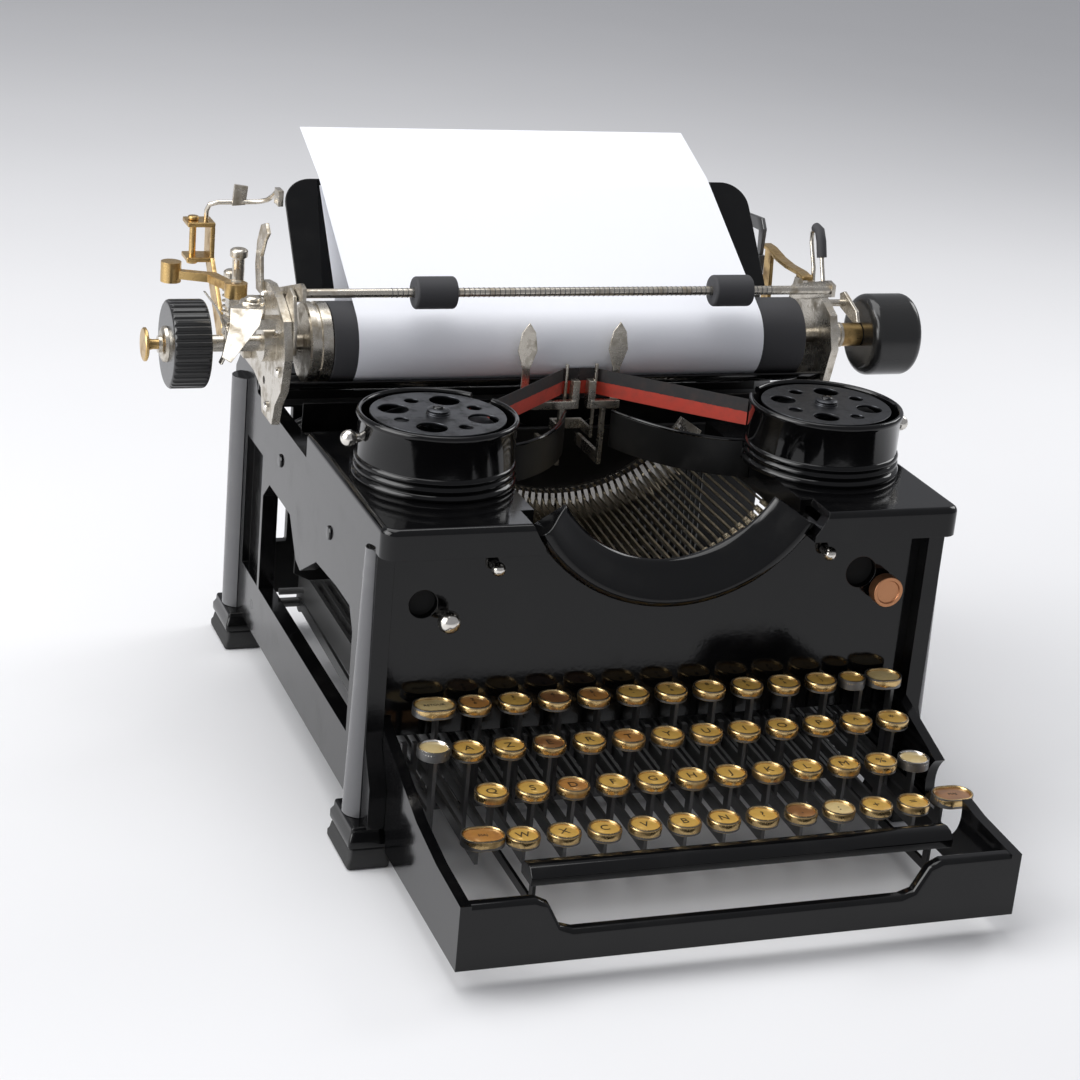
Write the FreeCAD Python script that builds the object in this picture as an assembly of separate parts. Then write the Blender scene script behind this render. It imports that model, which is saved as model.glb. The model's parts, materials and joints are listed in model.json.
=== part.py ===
"""A front-strike desk typewriter with a sliding carriage, made as separate parts.

Every part is drawn in the machine's own axes, in millimetres: X to the typist's right from the
middle plane, Y away from the typist from the front edge of the key tray, Z up from the table.
save() then moves each part so that the row's origin is under the middle of the whole machine.
"""
import FreeCAD, Part
import math
import os

# ---- frame ----
FRAME_HALF = 138.0  # middle plane to the outer face of a side frame
FRAME_WALL = 8.0
FRAME_TOP = 148.0  # the covers and the carriage rail sit here
FRAME_REAR = 392.0
FRAME_FRONT = 119.0
RAIL_TOP = 49.0  # top of a side frame's bottom rail
FOOT_HEIGHT = 20.0
FOOT_WIDTH = 20.0
FOOT_DEPTH = 36.0
FRONT_FOOT_Y = 108.0
POST_RADIUS = 8.0
PANEL_FRONT = 127.0
PANEL_WALL = 4.0
PANEL_BOTTOM = 56.0
PANEL_SCREW_X = 81.0
PANEL_SCREW_Z = 136.4
# ---- key tray ----
TRAY_HALF = 130.0
TRAY_WALL = 5.0
TRAY_BOTTOM = 10.0
TRAY_RAIL = 7.0
SCOOP_RADIUS = 17.5  # room in the right wall for the shift key that overhangs it
SCOOP_Z = 36.5
DIP_LEFT = -83.0
DIP_RIGHT = 77.0
DIP_HEIGHT = 24.0
# ---- covers and spool cups ----
COVER_FRONT = 108.0
COVER_REAR = 240.0
COVER_INNER = 65.0
COVER_HEIGHT = 14.0
COVER_WALL = 3.0
CUP_X = 96.7
CUP_Y = 175.6
CUP_RADIUS = 36.0
CUP_HEIGHT = 29.0
CUP_WALL = 1.6
CUP_SCREW_Z = 181.0
SPOOL_RADIUS = 31.0
SPINDLE_RADIUS = 3.0
RIBBON_LOW = 174.0
RIBBON_WIDTH = 13.0
RIBBON_Y = 252.6  # front of the ribbon at the fork
WOUND_RADIUS = 26.5  # the ribbon on a spool
FLANGE = 1.2
SPOOL_HUB = 9.0
HOLE_CIRCLE = 20.5
LARGE_HOLES = {"left": 7.0, "right": 6.0}
SMALL_HOLE = 3.4
# ---- keys ----
KEY_PITCH = 19.05
SHIFT_RIGHT_Y = 63.4
KEY_RADIUS = 7.5
KEY_HEIGHT = 4.5
KEY_RECESS = 1.0
RING_WALL = 0.9
LEVER_THICK = 1.6
LEVER_HEIGHT = 6.0
LEVER_Z = 26.0  # middle height of a key lever at its front end
PIVOT_Y = 335.0
PIVOT_Z = 35.0
PIVOT_RADIUS = 2.5
EYE_RADIUS = 5.5
COMB_Y = 150.0
COMB_DEPTH = 3.0
COMB_BOTTOM = 5.0
COMB_TOP = 40.0
# ---- type basket ----
BAR_COUNT = 44
BAR_PITCH = 2.5  # degrees
CENTRE_BAR = 22
SEGMENT_INNER = 80.0
SEGMENT_OUTER = 94.0
SEGMENT_FRONT = 263.0
SEGMENT_REAR = 276.0
BAR_PIVOT_R = 87.0
BAR_PIVOT_Y = 268.0
BAR_THICK = 1.2
BAR_DROP = 5.0  # degrees below level at rest
WIRE_RADIUS = 1.0
HUB_RADIUS = 4.0
RIM_OUTER = 79.0
RIM_INNER = 60.0
RIM_FRONT = 112.0
RIM_TOP = 156.0
BRACKET_WALL = 4.0
# ---- carriage ----
PLATEN_Y = 271.5
PLATEN_Z = 196.4
PLATEN_RADIUS = 19.5
PLATEN_LEFT = -124.5
PLATEN_RIGHT = 121.0
AXLE_RADIUS = 4.0
KNOB_RADIUS = 21.0
LEFT_TIP = -212.0
RIGHT_TIP = 187.5
END_LEFT = -146.0  # inner face of the left end plate
END_RIGHT = 133.0  # inner face of the right end plate
END_WALL = 4.0
BASE_TOP = 166.0
BASE_BOTTOM = 158.0
RAIL_MIDDLE_Y = 327.0
RAIL_HALF = 5.7
GUIDE_RADIUS = 4.0
TIE_BOTTOM = 176.0
TIE_TOP = 184.0
BAIL_Y = 249.0
BAIL_Z = 226.7
BAIL_RADIUS = 2.2
BAIL_PIVOT_Y = 291.0
BAIL_PIVOT_Z = 214.0
BAIL_ROLLER_RADIUS = 7.75
FEED_RADIUS = 6.0
RELEASE_Y = 294.0
RELEASE_Z = 200.0
STUD_X = END_LEFT - END_WALL - 13.0  # the pins of the two hand levers at the left end
LINE_STUD_Y = 262.0
FREE_STUD_Y = 296.0
STUD_Z = 211.7
STUD_RADIUS = 2.6
PAPER_LEFT = -112.9
PAPER_WIDTH = 210.0
PAPER_LENGTH = 297.0
PAPER_TOP_Y = 383.0
PAPER_TOP_Z = 276.0
PAPER_THICK = 0.3
PAPER_FACETS = 40  # flats that make the sheet's bend round the platen
TABLE_WALL = 1.5
# ---- clearances ----
RUN = 0.08  # radial running clearance of a shaft
SLIDE = 0.3  # between sliding faces, and between parts that only pass each other
SIDE_GAP = 0.6  # each side of a lever in its slot
PAPER_GAP = 0.25  # between the sheet and each roller

MIDDLE_X = -(LEFT_TIP + RIGHT_TIP) / 2  # the carriage stands off to the left
MIDDLE_Y = -(PAPER_TOP_Y + 10.0) / 2
COVER_TOP = FRAME_TOP + COVER_HEIGHT
BAR_PIVOT_Z = PLATEN_Z - BAR_PIVOT_R
PRINT_Y = PLATEN_Y - PLATEN_RADIUS
BAR_LENGTH = math.hypot(BAR_PIVOT_R, BAR_PIVOT_Y - PRINT_Y)
BAR_SWING = BAR_DROP + math.degrees(math.atan2(BAR_PIVOT_R, BAR_PIVOT_Y - PRINT_Y))
REAR_FOOT_Y = FRAME_REAR - FOOT_DEPTH

V = FreeCAD.Vector
ALONG = {"X": V(1, 0, 0), "Y": V(0, 1, 0), "Z": V(0, 0, 1)}


# ---- drawing helpers ----
def box(x0, x1, y0, y1, z0, z1):
    """A block between two corners."""
    return Part.makeBox(x1 - x0, y1 - y0, z1 - z0, V(x0, y0, z0))


def rod(axis, start, radius, length):
    """A round bar that starts at a point and runs along an axis."""
    return Part.makeCylinder(radius, length, V(*start), ALONG[axis])


def pipe(axis, start, outer, inner, length):
    """A round bar with a hole through it."""
    return rod(axis, start, outer, length).cut(rod(axis, start, inner, length))


def plate(axis, points, low, high):
    """An outline pushed along an axis. The points are the other two coordinates, in order."""
    corners = {
        "X": [V(low, a, b) for a, b in points],
        "Y": [V(a, low, b) for a, b in points],
        "Z": [V(a, b, low) for a, b in points],
    }[axis]
    wire = Part.makePolygon(corners + corners[:1])
    return Part.Face(wire).extrude(ALONG[axis] * (high - low))


def fuse(shapes):
    """One solid from touching or crossing solids."""
    whole = shapes[0].multiFuse(shapes[1:]) if len(shapes) > 1 else shapes[0]
    return whole.removeSplitter()


def group(shapes):
    """Separate solids kept together in one part."""
    return Part.makeCompound(shapes)


def mirrored(shape):
    """The same part on the other side of the middle plane."""
    return shape.mirror(V(0, 0, 0), V(1, 0, 0))


def round_edges(shape, radius, chosen):
    """Rounds the edges whose middle point passes a test."""
    edges = [e for e in shape.Edges if chosen(e.CenterOfMass, e)]
    return shape.makeFillet(radius, edges) if edges else shape


def save(name, shape):
    """Moves a part to the row's origin and writes it."""
    placed = shape.copy()
    placed.translate(V(MIDDLE_X, MIDDLE_Y, 0))
    placed.exportStep("parts/" + name + ".step")


# ---- frame ----
def side_frame():
    """Left side frame: a cast plate with a window, a front post and a rear post."""
    outline = [
        (FRONT_FOOT_Y, FOOT_HEIGHT), (FRONT_FOOT_Y, FOOT_HEIGHT + 20), (FRAME_FRONT, FOOT_HEIGHT + 36),
        (FRAME_FRONT, FRAME_TOP), (PIVOT_Y + 8, FRAME_TOP), (PIVOT_Y + 16, FRAME_TOP + 12),
        (FRAME_REAR - 12, FRAME_TOP + 12), (FRAME_REAR, FRAME_TOP), (FRAME_REAR, FOOT_HEIGHT),
    ]
    window = [
        (150, RAIL_TOP), (150, 98), (157, 108), (180, 108), (216, 105.5), (244, 90), (253, 92),
        (268, 110), (310, 110), (322, 100), (322, RAIL_TOP),
    ]
    body = plate("X", outline, -FRAME_HALF, -FRAME_HALF + FRAME_WALL)
    body = body.cut(plate("X", window, -FRAME_HALF - 1, -FRAME_HALF + FRAME_WALL + 1))
    pocket = box(-FRAME_HALF - 1, -FRAME_HALF + FRAME_WALL / 2, 326, 360, RAIL_TOP, 120)
    post_x = -FRAME_HALF + 2
    front = Part.makeCone(POST_RADIUS, 5.0, FRAME_TOP - FOOT_HEIGHT, V(post_x, PANEL_FRONT, FOOT_HEIGHT))
    rear = rod("Z", (post_x, REAR_FOOT_Y + FOOT_DEPTH / 2, FOOT_HEIGHT), POST_RADIUS, FRAME_TOP - FOOT_HEIGHT)
    keep_out = box(-FRAME_HALF + FRAME_WALL, 0, 0, FRAME_REAR, 0, FRAME_TOP + 50)
    posts = [post.cut(keep_out) for post in (front, rear)]
    shaft_hole = rod("X", (-FRAME_HALF - 1, PIVOT_Y, PIVOT_Z), PIVOT_RADIUS, FRAME_WALL + 2)
    return fuse([body.cut(pocket)] + posts).cut(shaft_hole)


def rubber_feet():
    """Four flared rubber feet, each under a post."""
    feet = []
    for side in (-1, 1):
        for y in (FRONT_FOOT_Y, REAR_FOOT_Y):
            x = side * (FRAME_HALF - 2)
            taper = 2.0
            low = Part.makePlane(FOOT_WIDTH, FOOT_DEPTH, V(x - FOOT_WIDTH / 2, y, 0)).OuterWire
            high = Part.makePlane(
                FOOT_WIDTH - 2 * taper, FOOT_DEPTH - 2 * taper, V(x - FOOT_WIDTH / 2 + taper, y + taper, FOOT_HEIGHT)
            ).OuterWire
            feet.append(Part.makeLoft([low, high], True))
    return group(feet)


def keyboard_tray():
    """The open tray round the keys: two side walls and a front rail that dips at the space bar."""
    foot = FRONT_FOOT_Y - 2
    over = FOOT_HEIGHT + SLIDE
    side = [
        (0, TRAY_BOTTOM), (0, 40), (34, 41.5), (64, 46), (111, 61), (PANEL_FRONT, 66), (140, 66), (140, over),
        (foot, over), (foot - 2, TRAY_BOTTOM),
    ]
    left = plate("X", side, -TRAY_HALF, -TRAY_HALF + TRAY_WALL)
    right = mirrored(left)
    scoop = rod("X", (TRAY_HALF - TRAY_WALL - 1, SHIFT_RIGHT_Y, SCOOP_Z), SCOOP_RADIUS, TRAY_WALL + 2)
    shoulder = 10.0
    rail = [
        (-TRAY_HALF, TRAY_BOTTOM), (TRAY_HALF, TRAY_BOTTOM), (TRAY_HALF, 40), (DIP_RIGHT + shoulder + 4, 40),
        (DIP_RIGHT + shoulder - 2, 37), (DIP_RIGHT + 2, DIP_HEIGHT + 2), (DIP_RIGHT - 4, DIP_HEIGHT),
        (DIP_LEFT + 4, DIP_HEIGHT), (DIP_LEFT - 2, DIP_HEIGHT + 2), (DIP_LEFT - shoulder + 2, 37),
        (DIP_LEFT - shoulder - 4, 40), (-TRAY_HALF, 40),
    ]
    front = plate("Y", rail, 0, TRAY_RAIL)
    front = round_edges(
        front, 2.5, lambda m, e: m.z > DIP_HEIGHT - 1 and (m.y < 0.01 or m.y > TRAY_RAIL - 0.01)
    )
    return fuse([left, right.cut(scoop), front])


def front_panel():
    """The upright plate under the covers, with an arch for the type basket and holes for two controls."""
    sheet = box(-TRAY_HALF, TRAY_HALF, PANEL_FRONT, PANEL_FRONT + PANEL_WALL, PANEL_BOTTOM, FRAME_TOP)
    for side in (-1, 1):
        sheet = sheet.cut(box(side * TRAY_HALF - 5.3, side * TRAY_HALF + 5.3, 0, 200, 0, 66.3))
    arch = rod("Y", (0, 0, PLATEN_Z), RIM_INNER + 2, 200)
    sheet = sheet.cut(arch)
    for x, z, hole_x, hole_z, hole in panel_controls():
        sheet = sheet.cut(rod("Y", (x, 0, z), 2.5 + RUN, 200))
        sheet = sheet.cut(rod("Y", (hole_x, 0, hole_z), hole, 200))
    return sheet


def panel_controls():
    """Each control on the panel: its shaft, and the round look-through hole beside it."""
    return [(-103.6, 114.3, -113.2, 119.5, 6.5), (112.1, 117.2, 101.0, 124.5, 7.5)]


def basket_rim():
    """The half-ring moulding round the arch, sloping inwards to the type basket."""
    section = [
        (RIM_OUTER, PANEL_FRONT), (RIM_OUTER, RIM_FRONT + 5), (RIM_OUTER - 1.5, RIM_FRONT + 1.5),
        (RIM_OUTER - 4.5, RIM_FRONT), (RIM_OUTER - 8, RIM_FRONT + 1.5), (RIM_INNER + 4, PANEL_FRONT - 6),
        (RIM_INNER, PANEL_FRONT - 2), (RIM_INNER, PANEL_FRONT),
    ]
    points = [V(r, y, PLATEN_Z) for r, y in section]
    face = Part.Face(Part.makePolygon(points + points[:1]))
    ring = face.revolve(V(0, 0, PLATEN_Z), V(0, 1, 0), 180)
    return ring.common(box(-100, 100, 0, 200, 0, RIM_TOP))


def cover(side):
    """A cover plate that carries a spool cup, with skirts all round and a corner cut for the rim."""
    low, high = sorted((side * COVER_INNER, side * (FRAME_HALF + 1)))
    outer = box(low, high, COVER_FRONT, COVER_REAR, FRAME_TOP, COVER_TOP)
    outer = round_edges(
        outer, 7.0, lambda m, e: m.y < COVER_FRONT + 1 and abs(m.x) > FRAME_HALF and abs(m.z - COVER_TOP) > 2
    )
    outer = round_edges(
        outer, 3.0, lambda m, e: m.z > COVER_TOP - 0.01 and m.y < COVER_REAR - 1 and abs(m.x) > COVER_INNER + 1
    )
    inside = box(
        low + COVER_WALL, high - COVER_WALL, COVER_FRONT + COVER_WALL + 4, COVER_REAR - COVER_WALL,
        FRAME_TOP - 1, COVER_TOP - COVER_WALL,
    )
    rim_space = rod("Y", (0, 0, PLATEN_Z), RIM_OUTER + SLIDE, PANEL_FRONT + SLIDE)
    return outer.cut(inside).cut(rim_space)


def back_frame():
    """Rear cross pieces: a low rail, a high rail and the plate that carries the mainspring."""
    wide = FRAME_HALF - FRAME_WALL
    low = box(-wide, wide, FRAME_REAR - 8, FRAME_REAR - 2, FOOT_HEIGHT, FOOT_HEIGHT + 30)
    high = box(-wide, wide, FRAME_REAR - 8, FRAME_REAR - 2, FRAME_TOP - 22, FRAME_TOP)
    link = box(-108, -82, FRAME_REAR - 8, FRAME_REAR - 2, FOOT_HEIGHT + 20, FRAME_TOP - 10)
    pin = rod("Y", (-95, FRAME_REAR - 30, 100), 4.0, 26)
    return fuse([low, high, link, pin])


def spool_cup(side):
    """A round cup with a stepped foot, a beaded lip, a ribbon slot and a spindle."""
    x = side * CUP_X
    inner = CUP_RADIUS - CUP_WALL
    wall = pipe("Z", (x, CUP_Y, COVER_TOP), CUP_RADIUS, inner, CUP_HEIGHT)
    floor = rod("Z", (x, CUP_Y, COVER_TOP), CUP_RADIUS, 2.0)
    steps = [pipe("Z", (x, CUP_Y, COVER_TOP + up), CUP_RADIUS + out, inner, 2.6)
             for up, out in ((0, 1.2), (3.6, 0.9), (7.2, 0.9))]
    lip = Part.makeTorus(CUP_RADIUS - CUP_WALL / 2, 1.4, V(x, CUP_Y, COVER_TOP + CUP_HEIGHT))
    cup = fuse([wall, floor, lip] + steps)
    slot = box(0, 60, -6, 6, COVER_TOP + 8, COVER_TOP + CUP_HEIGHT + 5)
    slot.rotate(V(0, 0, 0), V(0, 0, 1), math.degrees(math.atan2(BAIL_Y - CUP_Y, -x)))
    slot.translate(V(x, CUP_Y, 0))
    return fuse([cup.cut(slot), rod("Z", (x, CUP_Y, COVER_TOP), SPINDLE_RADIUS, CUP_HEIGHT + 4)])


def spool(side, large_hole):
    """A ribbon spool: a hub, two flanges, the upper one pierced, and the wound ribbon between them."""
    x = side * CUP_X
    bottom = COVER_TOP + 2.5
    lower = RIBBON_LOW - FLANGE - 0.5
    top = COVER_TOP + CUP_HEIGHT + 0.4
    low = rod("Z", (x, CUP_Y, lower), SPOOL_RADIUS, FLANGE)
    high = rod("Z", (x, CUP_Y, top - FLANGE), SPOOL_RADIUS, FLANGE)
    for step in range(8):
        angle = math.radians(45 * step + 20)
        hole = large_hole if step % 2 else SMALL_HOLE
        at = (x + HOLE_CIRCLE * math.cos(angle), CUP_Y + HOLE_CIRCLE * math.sin(angle), top - 2 * FLANGE)
        high = high.cut(rod("Z", at, hole, 3 * FLANGE))
    wound = rod("Z", (x, CUP_Y, lower), WOUND_RADIUS, RIBBON_LOW + RIBBON_WIDTH - lower)
    hub = rod("Z", (x, CUP_Y, bottom), SPOOL_HUB, top - bottom)
    boss = rod("Z", (x, CUP_Y, top), 5.5, FLANGE)
    return fuse([low, high, wound, hub, boss]).cut(rod("Z", (x, CUP_Y, 0), SPINDLE_RADIUS + RUN, 400))


def frame_screws():
    """Ball-headed screws: two in the front panel and one at each spool cup."""
    screws = []
    front = PANEL_FRONT - 4
    for x in (-PANEL_SCREW_X, PANEL_SCREW_X):
        head = Part.makeSphere(3.2, V(x, front, PANEL_SCREW_Z))
        screws.append(fuse([head, rod("Y", (x, front, PANEL_SCREW_Z), 1.8, 4)]))
    reach = CUP_X + CUP_RADIUS + 0.1
    neck = 3.5
    for side in (-1, 1):
        head = Part.makeSphere(3.6, V(side * (reach + 5), CUP_Y, CUP_SCREW_Z))
        start = reach if side > 0 else -reach - neck
        screws.append(fuse([head, rod("X", (start, CUP_Y, CUP_SCREW_Z), 1.8, neck)]))
    return group(screws)


# ---- type basket ----
def on_basket(shape, index):
    """Turns a shape drawn in the middle plane to its place round the basket."""
    turned = shape.copy()
    turned.rotate(V(0, 0, PLATEN_Z), V(0, 1, 0), -BAR_PITCH * (index - CENTRE_BAR))
    return turned


def typebar():
    """One typebar at rest in the middle plane: hub, tail, arm and type slug."""
    drop = math.radians(BAR_DROP)

    def at(along, up):
        """A point on the bar, measured from its pivot along the arm and across it."""
        return (
            BAR_PIVOT_Y - along * math.cos(drop) - up * math.sin(drop),
            BAR_PIVOT_Z - along * math.sin(drop) + up * math.cos(drop),
        )

    slug = 4.0
    arm = plate(
        "X", [at(0, -2.6), at(0, 2.6), at(BAR_LENGTH - slug, 1.6), at(BAR_LENGTH - slug, -1.6)],
        -BAR_THICK / 2, BAR_THICK / 2,
    )
    hub = rod("X", (-BAR_THICK / 2, BAR_PIVOT_Y, BAR_PIVOT_Z), HUB_RADIUS, BAR_THICK)
    tail = box(-BAR_THICK / 2, BAR_THICK / 2, BAR_PIVOT_Y - 1.5, BAR_PIVOT_Y + 1.5, BAR_PIVOT_Z - 12, BAR_PIVOT_Z)
    head = plate(
        "X", [at(BAR_LENGTH - slug, -2.2), at(BAR_LENGTH - slug, 2.6), at(BAR_LENGTH + 3, 2.6), at(BAR_LENGTH + 3, -2.2)],
        -1.5, 1.5,
    )
    bar = fuse([arm, hub, tail, head])
    return bar.cut(rod("X", (-5, BAR_PIVOT_Y, BAR_PIVOT_Z), WIRE_RADIUS + RUN, 10))


def typebars():
    """Every typebar but the middle one, each with the link that hangs from its tail."""
    bar = typebar()
    pieces = []
    for index in range(BAR_COUNT):
        if index == CENTRE_BAR:
            continue
        pieces.append(on_basket(bar, index))
        angle = math.radians(BAR_PITCH * (index - CENTRE_BAR))
        reach = BAR_PIVOT_R + 13.0
        top = PLATEN_Z - reach * math.cos(angle)
        foot = PIVOT_Z + 9
        pieces.append(rod("Z", (reach * math.sin(angle), BAR_PIVOT_Y, foot), 0.6, top - foot))
    return group(pieces)


def type_segment():
    """The slotted arc that holds the typebars, with the wire that they turn on."""
    depth = SEGMENT_REAR - SEGMENT_FRONT
    arc = pipe("Y", (0, SEGMENT_FRONT, PLATEN_Z), SEGMENT_OUTER, SEGMENT_INNER, depth)
    half = math.radians(BAR_PITCH * (CENTRE_BAR + 1))
    far = 2 * SEGMENT_OUTER
    wedge = plate(
        "Y", [(0, PLATEN_Z), (-far * math.sin(half), PLATEN_Z - far * math.cos(half)), (0, -far),
              (far * math.sin(half), PLATEN_Z - far * math.cos(half))],
        SEGMENT_FRONT, SEGMENT_REAR,
    )
    arc = arc.common(wedge)
    wide = BAR_THICK / 2 + 0.3
    slot = box(
        -wide, wide, SEGMENT_FRONT - 1, BAR_PIVOT_Y + HUB_RADIUS + 0.5,
        PLATEN_Z - SEGMENT_OUTER - 1, PLATEN_Z - SEGMENT_INNER + 2,
    )
    arc = arc.cut(group([on_basket(slot, index) for index in range(BAR_COUNT)]))
    wire = Part.makeTorus(BAR_PIVOT_R, WIRE_RADIUS, V(0, BAR_PIVOT_Y, PLATEN_Z), V(0, 1, 0))
    return arc.fuse(wire.common(wedge))


def segment_bracket():
    """The dark plate behind the segment, which ties it to the side frames."""
    wide = FRAME_HALF - FRAME_WALL
    rear = SEGMENT_REAR + BRACKET_WALL
    disc = rod("Y", (0, SEGMENT_REAR, PLATEN_Z), SEGMENT_OUTER - 1, BRACKET_WALL)
    disc = disc.common(box(-200, 200, 0, 400, 0, FRAME_TOP))
    bar = box(-wide, wide, SEGMENT_REAR, rear, FRAME_TOP - 24, FRAME_TOP)
    return fuse([disc, bar])


def centre_typebar():
    """The typebar in the middle slot, the one that swings."""
    return typebar()


def type_guide():
    """Two cheeks beside the printing point, each with a card finger and an arm from the bracket."""
    halves = []
    shelf_low = RIBBON_LOW - 5
    for side, finger_x in ((-1, -30.0), (1, 17.0)):
        low, high = sorted((side * 2.3, side * 6.0))
        cheek = box(low, high, BAIL_Y - 5.5, BAIL_Y - 0.5, shelf_low, 183)
        low, high = sorted((side * 4.0, finger_x + math.copysign(2.0, side)))
        shelf = box(low, high, BAIL_Y - 6, BAIL_Y - 2.5, shelf_low, RIBBON_LOW - 1)
        arm_x = side * 11.0
        arm = box(arm_x - 1, arm_x + 1, BAIL_Y - 6, BAIL_Y - 2.5, 142, RIBBON_LOW - 1)
        foot = box(arm_x - 1, arm_x + 1, BAIL_Y - 6, SEGMENT_REAR, 140, 146)
        leaf = [
            (finger_x - 2, shelf_low), (finger_x - 2, 189), (finger_x - 5, 198), (finger_x - 3.5, 207), (finger_x, 212),
            (finger_x + 3.5, 207), (finger_x + 5, 198), (finger_x + 2, 189), (finger_x + 2, shelf_low),
        ]
        finger = plate("Y", leaf, BAIL_Y - 2.5, BAIL_Y - 1.5)
        halves.append(fuse([cheek, shelf, arm, foot, finger]))
    return group(halves)


def ribbon_vibrator():
    """The fork that lifts the ribbon to the printing line, joined behind the swinging typebar."""
    sides = []
    for side in (-1, 1):
        low, high = sorted((side * 7.0, side * 8.4))
        sides.append(box(low, high, BAIL_Y - 0.2, 266, 152, 157))
        sides.append(box(low, high, BAIL_Y - 0.2, BAIL_Y + 1.4, 152, 190))
    cross = box(-8.4, 8.4, 263.5, 266, 152, 157)
    return fuse(sides + [cross])


def ribbon():
    """The ribbon from each cup, past its guard, to the fork."""
    low = RIBBON_LOW
    high = RIBBON_LOW + RIBBON_WIDTH
    front = RIBBON_Y
    strips = [box(-8.4, 8.4, front, front + 0.3, low, high)]
    for side in (-1, 1):
        reach = math.hypot(CUP_X, BAIL_Y - CUP_Y)
        near = (CUP_RADIUS + 1.2) / reach
        end_x = side * CUP_X * (1 - near)
        end_y = CUP_Y + (BAIL_Y - CUP_Y) * near
        strips.append(plate("Z", [
            (side * 9.0, BAIL_Y + 1.6), (side * 9.0, BAIL_Y + 1.9), (end_x, end_y + 0.4), (end_x, end_y)
        ], low, high))
    return group(strips)


def ribbon_guards():
    """Two curved shields in front of the ribbon, from the cover's edge towards the middle."""
    wall = 1.2
    shields = []
    for side in (-1, 1):
        near = [V(side * x, y, FRAME_TOP + 4) for x, y in ((12, 236), (34, 203), (COVER_INNER - SLIDE, 186))]
        far = [point - V(0, wall, 0) for point in near]
        edges = [
            Part.Arc(*near).toShape(), Part.makeLine(near[2], far[2]),
            Part.Arc(*far[::-1]).toShape(), Part.makeLine(far[0], near[0]),
        ]
        shield = Part.Face(Part.Wire(edges)).extrude(V(0, 0, 18))
        cup_space = rod("Z", (side * CUP_X, CUP_Y, COVER_TOP - SLIDE), CUP_RADIUS + 1.5 + SLIDE, 60)
        shields.append(shield.cut(cup_space))
    return group(shields)


# ---- keys ----
def key_rows():
    """The four typing rows from the top: place of the first key, count and sideways lever offset."""
    return {
        "digit_row_keys": (-88.7, 117.7, 75.2, 10, 2.6),
        "upper_row_keys": (-96.4, 99.3, 62.0, 12, 0.0),
        "home_key": (-90.5, 81.3, 49.3, 11, 0.0),
        "lower_row_keys": (-80.8, 63.4, 36.3, 11, 0.0),
    }


def function_keys():
    """Keys that don't type: middle x, y, top z, overall length and the x of the lever."""
    return {
        "shift_lock_key": (-112.3, 100.0, 63.0, 15.0, -111.8),
        "backspace_key": (-107.6, 117.7, 75.2, 20.0, -106.5),
        "tab_key": (99.0, 117.7, 75.2, 13.0, 103.5),
        "margin_release_key": (115.5, 117.7, 75.2, 18.0, 120.2),
        "ribbon_reverse_key": (116.9, 81.3, 49.3, 15.0, 116.8),
    }


def shift_places():
    """The two shift keys, which share one rocking shaft."""
    return [(-98.4, 66.0, 36.3, 20.0, -101.5), (129.5, SHIFT_RIGHT_Y, 38.5, 20.0, 123.4)]


def key_top(x, y, top, length):
    """A ringed key top with a sunk face: round, or a long oval when it is wider than it is deep."""
    radius = min(length / 2, KEY_RADIUS)
    offset = length / 2 - radius

    def oval(r, z0, z1):
        """A round or long block round the key's middle."""
        parts = [rod("Z", (x - offset, y, z0), r, z1 - z0)]
        if offset > 0:
            parts.append(rod("Z", (x + offset, y, z0), r, z1 - z0))
            parts.append(box(x - offset, x + offset, y - r, y + r, z0, z1))
            return fuse(parts)
        return parts[0]

    ring = oval(radius, top - KEY_HEIGHT, top)
    return ring.cut(oval(radius - RING_WALL, top - KEY_RECESS, top + 1))


def key_lever(lever_x, y, top):
    """A key's lever from the pivot shaft forwards, with the stem up to the key top."""
    half = LEVER_HEIGHT / 2
    low = lever_x - LEVER_THICK / 2
    high = lever_x + LEVER_THICK / 2
    front = y - 2.5
    lever = plate("X", [
        (front, LEVER_Z - half), (PIVOT_Y, PIVOT_Z - half), (PIVOT_Y, PIVOT_Z + half), (front, LEVER_Z + half)
    ], low, high)
    stem = box(low, high, front, y + 2.5, LEVER_Z, top - KEY_HEIGHT)
    eye = rod("X", (low, PIVOT_Y, PIVOT_Z), EYE_RADIUS, LEVER_THICK)
    hole = rod("X", (low - 1, PIVOT_Y, PIVOT_Z), PIVOT_RADIUS + RUN, LEVER_THICK + 2)
    return fuse([lever, stem, eye]).cut(hole)


def key(x, y, top, length, lever_x):
    """One key: top, stem and lever."""
    return fuse([key_top(x, y, top, length), key_lever(lever_x, y, top)])


def row_keys(name):
    """Every key of a typing row, as separate solids."""
    first, y, top, count, aside = key_rows()[name]
    places = [first + KEY_PITCH * step for step in range(count)]
    return [key(x, y, top, 2 * KEY_RADIUS, x + aside) for x in places]


def shift_keys():
    """Both shift keys on the shaft that makes them rock together."""
    low, high = [place[4] for place in shift_places()]
    keys = [key(*place) for place in shift_places()]
    rocker = rod("X", (low, PIVOT_Y - 17, PIVOT_Z - 13), 3.0, high - low)
    arms = [
        box(x - LEVER_THICK / 2, x + LEVER_THICK / 2, PIVOT_Y - 21, PIVOT_Y - 13, PIVOT_Z - 15, PIVOT_Z)
        for x in (low, high)
    ]
    return fuse(keys + [rocker] + arms)


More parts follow.
